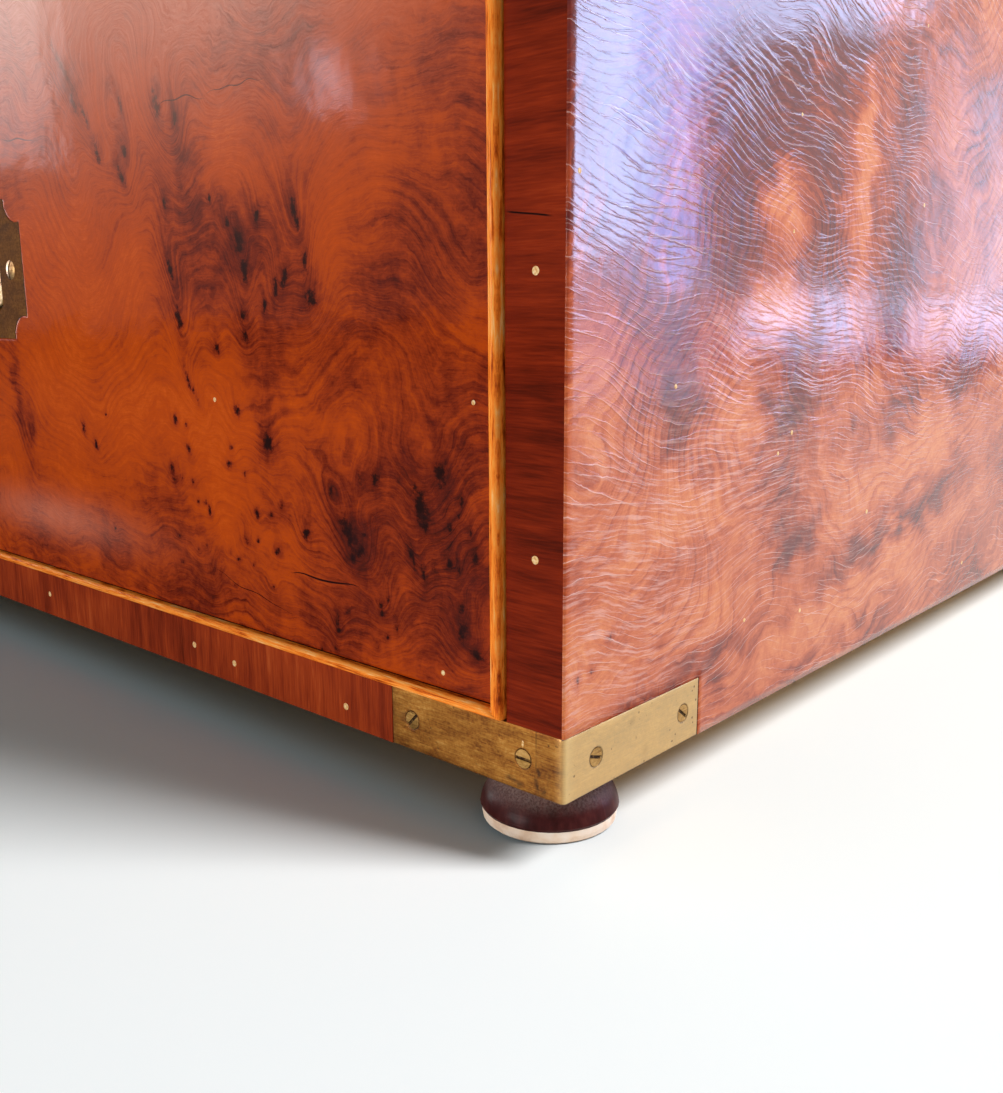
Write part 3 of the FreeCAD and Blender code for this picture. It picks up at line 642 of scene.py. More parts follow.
# What is drawn on the right side, by distance from the front edge and height above the floor: two round
# figures like the ends of cut boughs, and broad bands that rise to the right below them.
SIDE_HILLS = [(108, 186, 54, 46, 0, -88), (88, 114, 46, 30, 0, -62), (210, 60, 90, 40, 25, 24),
              (20, 80, 40, 30, 0, 14), (260, 180, 50, 90, 0, 30), (300, 480, 80, 90, 20, -50),
              (130, 430, 70, 60, 10, 42), (380, 300, 60, 80, 0, -40), (200, 640, 90, 50, 0, 40)]
# Stains, bright above 0 and dark below. The dark plum patch from the front edge to about 200 mm back and 110
# to 250 mm up, with the lighter flames inside it, is partly a stain of the wood and partly painted
# reflection: the dark frame of a window mirrored in the polish.
SIDE_PATCHES = [(112, 226, 34, 20, 0, -0.45), (106, 184, 12, 11, 0, 1.4), (110, 152, 24, 7, 0, 1.0),
                (166, 200, 6, 34, 0, 1.6), (130, 185, 75, 60, 0, -0.35), (90, 118, 14, 11, 0, 0.8),
                (60, 92, 26, 9, 0, 0.8), (128, 225, 10, 24, 0, 0.3), (70, 60, 60, 12, 4, 0.5),
                (230, 92, 75, 13, 10, 1.1), (170, 42, 90, 10, 8, 0.8), (170, 118, 50, 8, 14, 0.5),
                (50, 120, 8, 15, -30, -0.8), (122, 116, 20, 10, 0, -0.9), (131, 72, 30, 6, 20, -0.8),
                (84, 205, 22, 34, 0, -0.8), (120, 242, 70, 14, 0, -0.7), (20, 198, 32, 48, 0, -0.9),
                (25, 130, 30, 16, 0, 0.3), (15, 75, 30, 30, 0, 0.45), (140, 200, 10, 30, 0, -0.5),
                (200, 190, 12, 60, 0, -0.5), (240, 122, 60, 8, 8, -0.5), (215, 64, 80, 7, 10, -0.8),
                (60, 42, 60, 5, 6, -0.5), (330, 420, 70, 60, 0, -0.5), (120, 520, 80, 50, 0, 0.4),
                (300, 640, 90, 60, 0, 0.4), (80, 360, 60, 50, 0, -0.3), (400, 200, 60, 90, 0, 0.3)]
# Pale veils of painted reflection on the side, most of them low and near the front: window light mirrored in
# the polish.
SIDE_PAINTED_REFLECTIONS = [(20, 60, 46, 30, 0, 0.9), (60, 100, 60, 24, 0, 0.65), (110, 150, 60, 14, 0, 0.4),
               (150, 90, 90, 40, -20, 0.42), (250, 420, 160, 160, 0, 0.3)]
SIDE_EYES = scattered_eyes(5, [(30, 55, 14, 9), (330, 300, 22, 18), (150, 400, 26, 20), (390, 560, 24, 16),
                               (90, 620, 18, 10)])


def burr_of_its_own(seed, across, up, tone=0.0):
    """Hills, stains and clusters of eyes strewn over a sheet by a seed, where no figure is laid down."""
    rng = np.random.default_rng(seed)
    low_x, high_x, low_z, high_z = across.min(), across.max(), up.min(), up.max()
    count = 3 + int((high_x - low_x) * (high_z - low_z) / 9000)
    spread = rng.uniform((low_x, low_z), (high_x, high_z), (4, count, 2))
    hills = [(x, z, rng.uniform(18, 60), rng.uniform(18, 60), rng.uniform(-40, 40), rng.uniform(-34, 34))
             for x, z in spread[0]]
    patches = [(x, z, rng.uniform(15, 55), rng.uniform(15, 50), rng.uniform(-40, 40),
                rng.uniform(-0.6, 0.6) + tone) for x, z in spread[1]]
    clusters = [(x, z, rng.uniform(8, 20), int(rng.uniform(6, 18))) for x, z in spread[2][:count // 2 + 1]]
    return hills, patches, scattered_eyes(seed + 1, clusters)


def side_veneer(side, sign):
    """One side: a sheet from the front edge to the back, with its front arris rounded. It is sunk under the
    handle plate, and cut away under the straps and where the pan goes in."""
    node = "side_veneer_" + side
    middle = SIDE_HANDLE_Y - FRONT
    columns = grid_lines(0, DEPTH, 2.9, np.concatenate([
        (0.1, 0.22, 0.4, ARRIS, STRAP_LEG - CRISP, STRAP_LEG, DEPTH - STRAP_LEG, DEPTH - STRAP_LEG + CRISP),
        plate_lines(middle, PLATE_WIDTH, PAN_HOLE[0])]))
    rows = grid_lines(BASE, TOP, 2.9, np.concatenate([
        (BASE + STRAP_HEIGHT - CRISP, BASE + STRAP_HEIGHT, TOP - STRAP_HEIGHT, TOP - STRAP_HEIGHT + CRISP),
        plate_lines(SIDE_HANDLE_Z, PLATE_HEIGHT, PAN_HOLE[1])]))
    deep, high = np.meshgrid(columns, rows)
    from_end = np.minimum(deep, DEPTH - deep)
    strap = np.minimum(STRAP_LEG - from_end, STRAP_HEIGHT - np.minimum(high - BASE, TOP - high))
    plate = plate_inside(deep - middle, high - SIDE_HANDLE_Z)
    rounding = ARRIS - np.sqrt(np.clip(ARRIS ** 2 - np.clip(ARRIS - deep, 0, ARRIS) ** 2, 0, None))
    depth = np.maximum(np.maximum(sink(strap), sink(plate)), rounding)
    depth = depth + unevenness(deep, high, 8, 60) * (from_end > 1)
    face = np.stack([sign * (HALF - depth), FRONT + deep, high], axis=2)
    back = np.stack([np.full_like(deep, sign * (HALF - VENEER)), FRONT + deep, high], axis=2)
    if side == "right":
        figure = burr_figure(deep, high, 11, SIDE_SLOPE, SIDE_HILLS, SIDE_PATCHES, SIDE_EYES,
                             painted_reflections=SIDE_PAINTED_REFLECTIONS, fall=SIDE_FALL)
    else:
        figure = burr_figure(deep, high, 23, SIDE_SLOPE, *burr_of_its_own(37, deep, high), fall=SIDE_FALL)
    figure["worn"] = np.clip(1.3 - deep, 0, 0.9)
    let_in_edge(figure, strap, plate)
    if sign < 0:
        face, back, figure = flipped(face, back, figure)
        columns = DEPTH - columns[::-1]
        middle = DEPTH - middle
    leg = [line_at(columns, line) for line in (STRAP_LEG - CRISP, DEPTH - STRAP_LEG + CRISP)]
    cut = [line_at(rows, line) for line in (BASE + STRAP_HEIGHT - CRISP, TOP - STRAP_HEIGHT + CRISP)]
    holes = [(*row, *column) for row in ((0, cut[0]), (cut[1], len(rows) - 1))
             for column in ((0, leg[0]), (leg[1], len(columns) - 1))]
    holes.append(hole_cells(columns, rows, middle, SIDE_HANDLE_Z))
    sheet = piece(node + "_sheet", [closed_sheet(face, back, holes, **figure)], side_burr,
                  "carcass", node)
    sheet.visible_diffuse = False       # it throws no red onto the floor, whose shadow is grey


side_veneer("right", 1)
side_veneer("left", -1)


# ---- Top veneer ---------------------------------------------------------------------------------
# One more sheet of the same burr, between the straps of the four upper corners.
STRAP_THICK = 2.0


def top_veneer():
    """The top: a flat sheet with notches for the straps, whose upper edges show in them."""
    low, high = [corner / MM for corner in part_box("top_veneer")]
    notch_x, leg_x = HALF - STRAP_THICK, HALF - STRAP_LEG
    exact_columns = (-notch_x, -leg_x, leg_x, notch_x)
    exact_rows = (FRONT + STRAP_LEG, BACK - STRAP_LEG, BACK - STRAP_THICK)
    columns = grid_lines(low.x, high.x, 4.0, exact_columns)
    rows = grid_lines(low.y, high.y, 4.0, exact_rows)
    x, y = np.meshgrid(columns, rows)
    left_notch, left_leg, right_leg, right_notch = [line_at(columns, line) for line in exact_columns]
    front_leg, rear_leg, rear_notch = [line_at(rows, line) for line in exact_rows]
    last_row, last_column = len(rows) - 1, len(columns) - 1
    holes = []
    for sides in ((0, left_notch), (right_notch, last_column)):
        holes += [(0, front_leg, *sides), (rear_leg, last_row, *sides)]
    holes += [(rear_notch, last_row, *sides) for sides in ((0, left_leg), (right_leg, last_column))]
    wave = unevenness(x, y, 31, 80) * (np.abs(x) < high.x - 1) * (y > low.y + 1)
    face = np.stack([x, y, high.z - wave], axis=2)
    back = np.stack([x, y, low.z * np.ones_like(x)], axis=2)
    figure = burr_figure(x, y, 37, (0.1, 0.9), *burr_of_its_own(71, x, y))
    piece("top_veneer_sheet", [closed_sheet(face, back, holes, **figure)], side_burr,
          "carcass", "top_veneer")


top_veneer()


# ---- Crossgrain facings and their pins ----------------------------------------------------------
# Strips of straight yew glued on the front edges with the grain across them, each held by pins whose
# holes are filled with pale putty.
def crossgrain(name, across, codes, shake=None):
    """Short grain that runs along the axis across, in fine dark lines and broad bands of colour. A shake is
    a dark hairline split, (x, z, x, z) in millimetres: the places close to the line between the two."""
    finish, tree = new_finish(name)
    place = add(tree, "TexCoord", out="Object")
    bent = add(tree, "VectorMath", {0: spots(place, 22, 1), 1: (0.003, 0.003, 0.003), 2: place},
               operation="MULTIPLY_ADD")
    drawn = drawn_along(bent, across, 0.06)
    lines = spots(drawn, 1500, 2, 0.6)
    shade = lines * 0.25 + spots(drawn, 260, 4, 0.62) * 0.35 + spots(place, 20, 3) * 0.40
    colour = ramp(shade, *zip((0.32, 0.46, 0.57, 0.70), codes))
    if shake:
        x0, z0, x1, z1 = [value * MM for value in shake]
        x, z = [add(tree, "SeparateXYZ", {0: bent}, out=axis) for axis in "XZ"]
        beside = (z - ((x - x0) * ((z1 - z0) / (x1 - x0)) + z0)).size()
        past_end = (x - (x0 + x1) / 2).size()
        within = in_range(past_end, (x1 - x0) * 0.3, (x1 - x0) / 2, 1.0, 0.0)
        gap = in_range(beside, 0.00012, 0.00036, 1.0, 0.0) * within
        colour = blend_colours(gap, colour, paint("1c0704"))
    return surfaced(finish, colour, 0.5, 0.0, bumped(lines, 0.3, 0.0003), coat=0.08, coat_roughness=0.16)


STILE_SHAKE = (317.0, 177.6, 334.0, 175.4)
dress(crossgrain("stile_yew", "X", ("3a0e06", "6c1d0a", "86280e", "a03a16"), STILE_SHAKE), "stile_facings")
dress(crossgrain("rail_yew", "Z", ("44170c", "802c15", "9e3d1a", "bc5a2c")), "rail_facings")


def cloudy(name, scale, stops, roughness, gloss, metal=0.0):
    """A plain stuff in softly cloudy colours."""
    finish, tree = new_finish(name)
    cloud = spots(add(tree, "TexCoord", out="Object"), scale, 3)
    return surfaced(finish, ramp(cloud, *stops), roughness, gloss, metal=metal)


putty = cloudy("pin_putty", 1500, ((0.3, "c98a3e"), (0.5, "e6b877"), (0.7, "f3d8a8")), 0.45, 0.3)
dress(putty, "facing_pins")


# ---- Filler specks ------------------------------------------------------------------------------
# Small holes in the burr, stopped with the same pale putty and left a hair proud of the polish.
SIDE_SPECKS = [(186, 74.6, 0.9), (298, 34.5, 0.9), (121, 110.6, 0.8), (112, 104.5, 0.7), (94.5, 51.5, 0.7),
               (134, 46.4, 0.8), (49.4, 129.8, 0.7), (220.5, 189.4, 0.8), (117, 210, 0.6),
               (115.4, 174.9, 0.6), (211.6, 251.8, 0.6), (4.3, 183.9, 0.7), (240, 380, 0.8),
               (330, 250, 0.9), (90, 460, 0.8)]
DRAWER_SPECKS = [(183.1, 121.5, 0.8), (304.1, 126.9, 0.7), (290.9, 47.8, 0.8), (-120, 90, 0.8),
                 (-230, 160, 0.7)]
STRAP_NICK = (HALF - 14.6, BASE + 14.0, 0.55)   # a pale nick in a strap, made like a speck
SPECK_SIDES = 12


def specks(name, body, places):
    """Low round domes with a few sides: (centre, outward direction, radius, stretch upwards) each."""
    turns = np.radians(np.arange(0, 360, 360 / SPECK_SIDES))
    rings = np.arange(3 * SPECK_SIDES).reshape(3, SPECK_SIDES)
    after = np.roll(rings, -1, axis=1)
    faces = joined_quads(rings[:-1], after[:-1], after[1:], rings[1:])
    faces += [rings[0, ::-1].tolist(), rings[2].tolist()]
    shells = []
    for centre, out, radius, tall in places:
        level = np.cross((0, 0, 1), out)
        upright = np.array((0, 0, tall))
        points = [np.array(centre) + proud * np.array(out)
                  + radius * reach * (np.outer(np.cos(turns), level) + np.outer(np.sin(turns), upright))
                  for reach, proud in ((1.0, -0.3), (1.0, 0.0), (0.6, 0.09))]
        shells.append((np.concatenate(points), faces, 0, {}))
    piece(name, shells, putty, body)


specks("carcass_filler_specks", "carcass",
       [((HALF - 0.02, FRONT + deep, z), (1, 0, 0), radius, 1) for deep, z, radius in SIDE_SPECKS]
       + [((STRAP_NICK[0], FRONT + 0.12, STRAP_NICK[1]), (0, -1, 0), STRAP_NICK[2], 2.6)])
specks("bottom_drawer_filler_specks", "bottom_drawer",
       [((x, FRONT + 0.02, z), (0, -1, 0), radius, 1) for x, z, radius in DRAWER_SPECKS])


# ---- Brass corner straps ------------------------------------------------------------------------
# A strip of brass bent round each corner, let in flush, worn soft at its edges and held by two
# countersunk screws in each leg. It has dulled to ochre, with dark spots and dirt in its hollows.
STRAP_CORNER = 1.8
STRAP_SCREW_PLACES = (14.5, 58.7)
STRAP_SCREW_RISE = 9.6
STRAP_HEAD = 2.8
STRAP_SEAM = -9.4       # a dark line across the front leg, and the brass is dull from it to the corner
STRAP_STAINS = [(-8.8, 3.6, 0.8, 3.4, 0.9), (-6.5, 2.0, 1.6, 0.8, 0.7), (-17.5, 2.6, 1.6, 0.9, 0.8),
                (-61.0, 10.5, 2.5, 1.6, 0.6), (-5.0, 6.0, 0.6, 4.0, 0.35), (-15.0, 1.6, 1.2, 0.8, 0.7),
                (-38.0, 15.0, 1.2, 0.7, 0.25), (31.7, 15.1, 1.0, 1.0, 0.22), (38.3, 3.9, 0.9, 0.9, 0.2)]
HOLE = 2.98             # radius of the sunk ring around a screw head
HOLE_DEPTH = 0.55


def aged_brass(name, codes, rough=0.36, metal=0.85, spot_share=0.5, scratch=1.0, gloss=0.5):
    """Brass under old lacquer: cloudy colour, fine scratches along its length, and dark spots. By the
    attribute bright it is painted paler, as painted light. Where the attribute dirt is high, it is nearly
    black."""
    finish, tree = new_finish(name)
    place = add(tree, "TexCoord", out="Object")
    cloud = spots(stretched(place, 0.4, 0.4, 1.0), 190, 5, 0.7)
    fine = spots(place, 900, 3, 0.6)
    lines = spots(stretched(place, 0.05, 0.05, 1.0), 3400, 2, 0.6)
    shade = cloud * 0.45 + fine * 0.25 + 0.15 * (1 - scratch) + lines * (0.3 * scratch)
    colour = ramp(shade, *zip((0.38, 0.47, 0.55, 0.66), codes))
    colour = blend_colours(attribute(tree, "bright") * 0.6, colour, paint("e4c48a"))
    pits = add(tree, "TexVoronoi", {"Vector": place, "Scale": 420, "Randomness": 1.0}, out="Distance")
    pit = in_range(pits, 0.10, 0.22, 1.0, 0.0) * in_range(spots(place, 130, 2), 0.5, 0.62)
    dirt = attribute(tree, "dirt") * in_range(fine, 0.3, 0.6, 0.5, 1.0)
    dark = (pit * spot_share).or_more(dirt)
    colour = blend_colours(dark, colour, paint("2c180c"))
    relief = lines * (0.35 * scratch) + cloud * 2.0 - pit * 0.8
    roughness = in_range(cloud + dark * 0.5, 0.3, 0.9, rough - 0.06, rough + 0.22)
    return surfaced(finish, colour, roughness, gloss, bumped(relief, 0.3, 0.0003), metal)


strap_brass = aged_brass("strap_brass", ("68360e", "92591c", "a8702a", "be8e4a"), 0.38, 0.8, 0.7)


def near_lines(middles, reach, step):
    """Lines every step within reach of each middle."""
    return np.concatenate([middle + np.arange(-reach, reach + step / 2, step) for middle in middles])


def corner_strap():
    """The front right lower strap, as arrays over a grid: run along it from the corner, negative on the
    front leg, and rise above its lower edge. Points near a screw move onto the rim of its hollow, and
    those inside it are sunk. The run is bent round the corner by a quarter circle."""
    places = np.array(STRAP_SCREW_PLACES)
    turn = STRAP_CORNER * math.pi / 2
    flat = STRAP_LEG - STRAP_CORNER
    screw_runs = places - STRAP_CORNER + turn / 2
    ends = flat + turn / 2
    runs = grid_lines(-ends, ends, 2.4, np.concatenate([
        near_lines(np.concatenate([-screw_runs, screw_runs]), 3.3, 0.3),
        near_lines([-6.6], 3.6, 0.4), np.linspace(-turn / 2, turn / 2, 7),
        (-ends + 0.25, -ends + 0.6, ends - 0.6, ends - 0.25)]))
    rises = grid_lines(0, STRAP_HEIGHT, 0.8, np.concatenate([
        near_lines([STRAP_SCREW_RISE], 3.3, 0.3), (0.2, 0.5, STRAP_HEIGHT - 0.5, STRAP_HEIGHT - 0.2)]))
    run, rise = np.meshgrid(runs, rises)
    sunk = np.zeros_like(run)
    dirt = np.zeros_like(run)
    for middle in (*-screw_runs, *screw_runs):
        over, above = run - middle, rise - STRAP_SCREW_RISE
        reach = np.hypot(over, above)
        close = np.abs(reach - HOLE) < 0.16
        run = np.where(close, middle + over * HOLE / np.maximum(reach, 0.1), run)
        rise = np.where(close, STRAP_SCREW_RISE + above * HOLE / np.maximum(reach, 0.1), rise)
        reach = np.hypot(run - middle, rise - STRAP_SCREW_RISE)
        sunk = np.where(reach < HOLE - 0.05, HOLE_DEPTH, sunk)
        dirt = np.maximum(dirt, np.clip(1 - np.abs(reach - HOLE + 0.1) / 0.45, 0, 1))
    from_edge = np.minimum(np.minimum(rise, STRAP_HEIGHT - rise), ends - np.abs(run))
    soft = 0.25 * np.clip(1 - from_edge / 0.6, 0, 1) ** 2
    wave = 0.05 * (1 + 0.6 * drift(run, rise, 41, 30)) * np.clip(from_edge, 0, 1)
    depth = soft + sunk + wave
    dirt = np.maximum(dirt, 0.7 * np.clip(1 - from_edge / 0.35, 0, 1))
    seam = np.clip(1 - np.abs(run - STRAP_SEAM + 0.15 * drift(rise, run, 45, 9)) / 0.3, 0, 1)
    dirt = np.maximum(dirt, 0.75 * seam)
    dirt = np.maximum(dirt, 0.16 * ((run > STRAP_SEAM) & (run < -turn / 2)))
    for middle_run, middle_rise, wide, tall, share in STRAP_STAINS:
        stain = np.hypot((run - middle_run) / wide, (rise - middle_rise) / tall)
        dirt = np.maximum(dirt, share * np.clip(1.4 - stain + 0.5 * drift(run, rise, 47, 3), 0, 1))
    # Painted light: the side leg, which faces the windows, is painted paler than the front leg, and a painted
    # highlight runs down the bend.
    bright = np.clip((run + 0.5) / 1.5, 0, 1) * 0.95 + 0.5 * np.exp(-(run / 1.6) ** 2)
    turned = np.clip((run + turn / 2) / turn, 0, 1) * math.pi / 2
    out_x, out_y = np.sin(turned), -np.cos(turned)
    centre_x, centre_y = HALF - STRAP_CORNER, FRONT + STRAP_CORNER
    x = centre_x + np.minimum(run + turn / 2, 0) + (STRAP_CORNER - depth) * out_x
    y = centre_y + np.maximum(run - turn / 2, 0) + (STRAP_CORNER - depth) * out_y
    inner_x = np.minimum(centre_x + np.minimum(run + turn / 2, 0), HALF - STRAP_THICK)
    inner_y = np.maximum(centre_y + np.maximum(run - turn / 2, 0), FRONT + STRAP_THICK)
    inner_x = np.where(turned > 0, HALF - STRAP_THICK, inner_x)
    inner_y = np.where(turned >= math.pi / 2, inner_y, FRONT + STRAP_THICK)
    face = np.stack([x, y, rise], axis=2)
    back = np.stack([inner_x, inner_y, rise], axis=2)
    bends = [line_at(runs, place) for place in (-turn / 2, turn / 2)]
    return face, back, bends, {"dirt": dirt, "bright": bright}


def corner_copy(points, side, rear, level):
    """Points of the front right corner, mirrored to another corner and lifted to a level."""
    x = points[..., 0] * side
    y = (FRONT + BACK) - points[..., 1] if rear else points[..., 1]
    return np.stack([x, y, points[..., 2] + level], axis=-1)


CORNERS = [(side, rear) for side in (1, -1) for rear in (False, True)]
strap_face, strap_back, strap_bends, strap_fields = corner_strap()

for group, level in (("bottom_corner_straps", BASE), ("top_corner_straps", TOP - STRAP_HEIGHT)):
    straps = []
    for side, rear in CORNERS:
        sides = [corner_copy(points, side, rear, level) for points in (strap_face, strap_back)]
        fields, bends = strap_fields, strap_bends
        if (side < 0) != rear:
            *sides, fields = flipped(*sides, fields)
            bends = [sides[0].shape[1] - 1 - bend for bend in bends]
        straps.append(closed_sheet(*sides, bends=bends, **fields))
    piece(group + "_bent", straps, strap_brass, "carcass", group)


# ---- Slotted screws -----------------------------------------------------------------------------
# Brass wood screws with a straight slot, turned home to different angles. Those of the straps are
# flat and flush. Those of the handles have low raised heads.
def slotted_screw(radius, dome, slot_width, slot_depth, shank, length, around=9, beside=7):
    """Points, faces and dirt of one screw with its head up. The head is drawn on chords parallel to its
    slot: each chord ends on the circle, and the chords at the two sides of the slot are doubled, one line on
    the head and one sunk. Smaller rings below it make the cone, the shank and the point."""
    reach = np.arcsin(slot_width / 2 / radius)
    outer = radius * np.sin(np.linspace(reach, math.radians(80), beside))
    v = np.concatenate([-outer[::-1], -outer[:1], outer[:1], outer])
    low = np.concatenate([np.zeros(beside), [1, 1], np.zeros(beside)])
    share = np.sin(np.linspace(-math.pi / 2, math.pi / 2, around))
    u_grid = share[None, :] * np.sqrt(radius ** 2 - v ** 2)[:, None]
    v_grid = np.repeat(v[:, None], around, axis=1)
    end_angle = np.radians(np.linspace(-100, -80, around))
    for row, sign in ((0, 1), (-1, -1)):
        u_grid[row], v_grid[row] = radius * np.cos(end_angle), sign * radius * np.sin(end_angle)
    height = dome * (1 - (u_grid ** 2 + v_grid ** 2) / radius ** 2) - slot_depth * low[:, None]
    rows, columns = u_grid.shape
    points = np.stack([u_grid, v_grid, height], axis=2).reshape(-1, 3)
    dirt = np.repeat(low, columns)
    number = np.arange(rows * columns).reshape(rows, columns)
    faces = joined_quads(number[:-1, :-1], number[:-1, 1:], number[1:, 1:], number[1:, :-1])
    rim = np.concatenate([number[0, :-1], number[:-1, -1], number[-1, :0:-1], number[:0:-1, 0]])
    rim_u, rim_v = points[rim, 0] / radius, points[rim, 1] / radius
    deep = slot_depth + 0.15
    for size, drop in ((radius, deep), (shank, deep + radius - shank), (shank, length - 2.5 * shank),
                       (0.15, length)):
        ring = np.stack([rim_u * size, rim_v * size, np.full(len(rim), -drop)], axis=1)
        below = len(points) + np.arange(len(rim))
        points = np.concatenate([points, ring])
        faces += np.stack([rim, below, np.roll(below, -1), np.roll(rim, -1)], axis=1).tolist()
        rim = below
    faces.append(rim[::-1].tolist())
    return points, faces, np.concatenate([dirt, np.ones(len(points) - len(dirt))])


def screws(name, body, finish, shape, places, node):
    """One object with a screw at each place: (point, outward direction, angle of the slot in degrees)."""
    points, faces, dirt = shape
    shells = []
    for place, out, angle in places:
        level = np.cross((0, 0, 1), out)
        rise = np.cross(out, level)
        turn = math.radians(angle)
        along = level * math.cos(turn) + rise * math.sin(turn)
        axes = np.array([along, np.cross(out, along), out])
        shells.append((np.array(place) + points @ axes, faces, 0, {"dirt": dirt}))
    piece(name, shells, finish, body, node)


FRONT_SLOT_ANGLES = (0, -47)
SIDE_SLOT_ANGLES = (19, 38)
TURNED_ON = 61          # how many degrees further each next slot is turned, past the first corner
screw_brass = aged_brass("screw_brass", ("7a5524", "a0763a", "b98d4e", "cda568"), 0.34, spot_share=0.3)
strap_places = []
for level in (BASE, TOP - STRAP_HEIGHT):
    for side, rear in CORNERS:
        for place, *angles in zip(STRAP_SCREW_PLACES, FRONT_SLOT_ANGLES, SIDE_SLOT_ANGLES):
            spots_and_ways = ((HALF - place, FRONT + 0.1, 0, -1), (HALF - 0.1, FRONT + place, 1, 0))
            for (x, y, out_x, out_y), angle in zip(spots_and_ways, angles):
                point = corner_copy(np.array((x, y, STRAP_SCREW_RISE)), side, rear, level)
                first_corner = side > 0 and not rear and level == BASE
                slot = (0 if first_corner else TURNED_ON * len(strap_places)) - angle
                strap_places.append((point, (out_x * side, -out_y if rear else out_y, 0), slot))
screws("strap_screws_slotted", "carcass", screw_brass,
       slotted_screw(STRAP_HEAD - 0.06, 0.0, 0.95, 0.42, 1.4, 12.0), strap_places, "strap_screws")

PLATE_SCREW_X = 39.7
PLATE_HEAD = 4.0
plate_screw = slotted_screw(PLATE_HEAD - 0.1, 0.75, 1.1, 0.6, 2.0, 14.0, 13, 9)
side_places = []
for side in (1, -1):
    for offset, angle in ((PLATE_SCREW_X, 12), (-PLATE_SCREW_X, -48)):
        side_places.append(((side * HALF, SIDE_HANDLE_Y + side * offset, SIDE_HANDLE_Z), (side, 0, 0), angle))
handle_screw_brass = aged_brass("handle_screw_brass", ("6a4420", "94683a", "b8905e", "d8b888"), 0.28,
                                spot_share=0.3)
screws("side_handle_screws_slotted", "carcass", handle_screw_brass, plate_screw, side_places,
       "side_handle_screws")


# ---- Turned feet --------------------------------------------------------------------------------
# Low domes turned from dark wood and polished, each on a pale ivory-coloured glide, and screwed up
# into the bottom. Dust lies on the top of the dome.
def dark_turned_wood():
    """Dark red-brown wood with a faint sheen, fine turning rings, and dust where it faces up."""
    finish, tree = new_finish("foot_wood")
    place = add(tree, "TexCoord", out="Object")
    grain = spots(stretched(place, 1, 1, 0.4), 420, 3)
    facing = add(tree, "SeparateXYZ", {0: add(tree, "NewGeometry", out="Normal")}, out="Z")
    dust = in_range(facing, 0.35, 0.8) * in_range(spots(place, 1400, 4, 0.7), 0.35, 0.65, 0.35, 1.0)
    colour = ramp(grain, (0.3, "32100e"), (0.55, "401817"), (0.75, "4e221e"))
    colour = blend_colours(dust * 0.75, colour, paint("9a827c"))
    rings = spots(stretched(place, 0.02, 0.02, 1), 2500, 2)
    return surfaced(finish, colour, in_range(dust, 0.0, 0.8, 0.3, 0.75), 0.06, bumped(rings, 0.15, 0.0002))


dress(dark_turned_wood(), "feet")
ivory = cloudy("glide_ivory", 160, ((0.3, "dcb494"), (0.5, "f2d6bc"), (0.7, "f8e4d2")), 0.5, 0.1)
dress(ivory, "foot_glides")
chest["foot_glides"].visible_diffuse = False
dress(cloudy("screw_steel", 600, ((0.3, "5c5a57"), (0.55, "8c8a86"), (0.75, "a8a6a2")), 0.38, 0.5, 0.9),
      "foot_screws", "back_screws")


# ---- Drawers ------------------------------------------------------------------------------------
# Each is a box of pale wood whose sides are dovetailed to a thick front and to the back. The front has a
# sheet of burr inside a mitred cockbead, and a flush handle with a bail let into it.
DRAWERS = ("bottom", "middle", "top")
box_wood = plain_wood("drawer_side_wood", "Y", ("a87b4c", "c79f6d", "dbb98a"), 0.5)
box_cross_wood = plain_wood("drawer_cross_wood", "X", ("a3764a", "c2996a", "d8b587"), 0.5)
for drawer in DRAWERS:
    dress(box_wood, drawer + "_drawer_side_left", drawer + "_drawer_side_right")
    dress(box_cross_wood, drawer + "_drawer_front", drawer + "_drawer_back")
    dress(ply_across, drawer + "_drawer_bottom")

# What is drawn on the bottom drawer, in millimetres from its middle and above the floor.
BOTTOM_HILLS = [(105, 165, 26, 55, 0, 26), (136, 243, 22, 26, 0, -20), (168, 200, 10, 34, 10, 18),
                (200, 180, 14, 30, 0, -16), (232, 170, 12, 30, 0, 22), (262, 140, 30, 26, 0, -12),
                (290, 112, 30, 9, 0, 5), (250, 120, 18, 10, 0, -6), (-60, 150, 60, 60, 0, -30),
                (-200, 120, 50, 40, 20, 34), (-150, 230, 40, 30, 0, -22), (-270, 200, 30, 50, 0, 20),
                (10, 90, 40, 30, 0, -14)]
# Stains, bright above 0 and dark below. The broad bright one across the top, 262 mm up, is painted light: it
# makes the top of the front lighter.
BOTTOM_PATCHES = [(80, 150, 50, 50, 0, 0.5), (120, 150, 40, 45, 0, 0.35), (70, 105, 45, 35, 0, 0.45),
                  (180, 120, 35, 22, 0, 0.5), (185, 75, 40, 20, 0, 0.35), (195, 200, 14, 20, 0, 0.45),
                  (255, 190, 30, 15, 0, 0.3), (265, 118, 40, 10, 0, 0.25), (130, 245, 25, 18, 0, 0.25),
                  (172, 198, 7, 26, 12, -0.5), (225, 225, 35, 20, 0, -0.1), (208, 173, 16, 14, 0, -0.35),
                  (232, 170, 9, 22, 0, -0.25), (130, 262, 120, 30, 0, 0.5), (270, 240, 50, 40, 0, 0.4),
                  (38, 110, 9, 32, 10, -0.8), (48, 190, 8, 20, 0, -0.3), (112, 58, 14, 14, 0, -0.55),
                  (300, 150, 25, 40, 0, -0.3), (250, 150, 22, 18, 0, -0.25), (285, 80, 26, 22, 0, -0.55),
                  (255, 82, 12, 14, 0, -0.5), (300, 55, 16, 14, 0, -0.5), (230, 55, 22, 12, 0, -0.25),
                  (268, 58, 14, 10, 0, -0.3), (212, 108, 8, 9, 0, -0.3), (212, 86, 10, 7, 0, -0.3),
                  (285, 245, 30, 25, 0, -0.15), (-60, 150, 60, 60, 0, 0.7), (-200, 110, 40, 40, 20, -0.5),
                  (-150, 230, 40, 30, 0, 0.5), (-260, 80, 40, 30, 0, 0.4)]
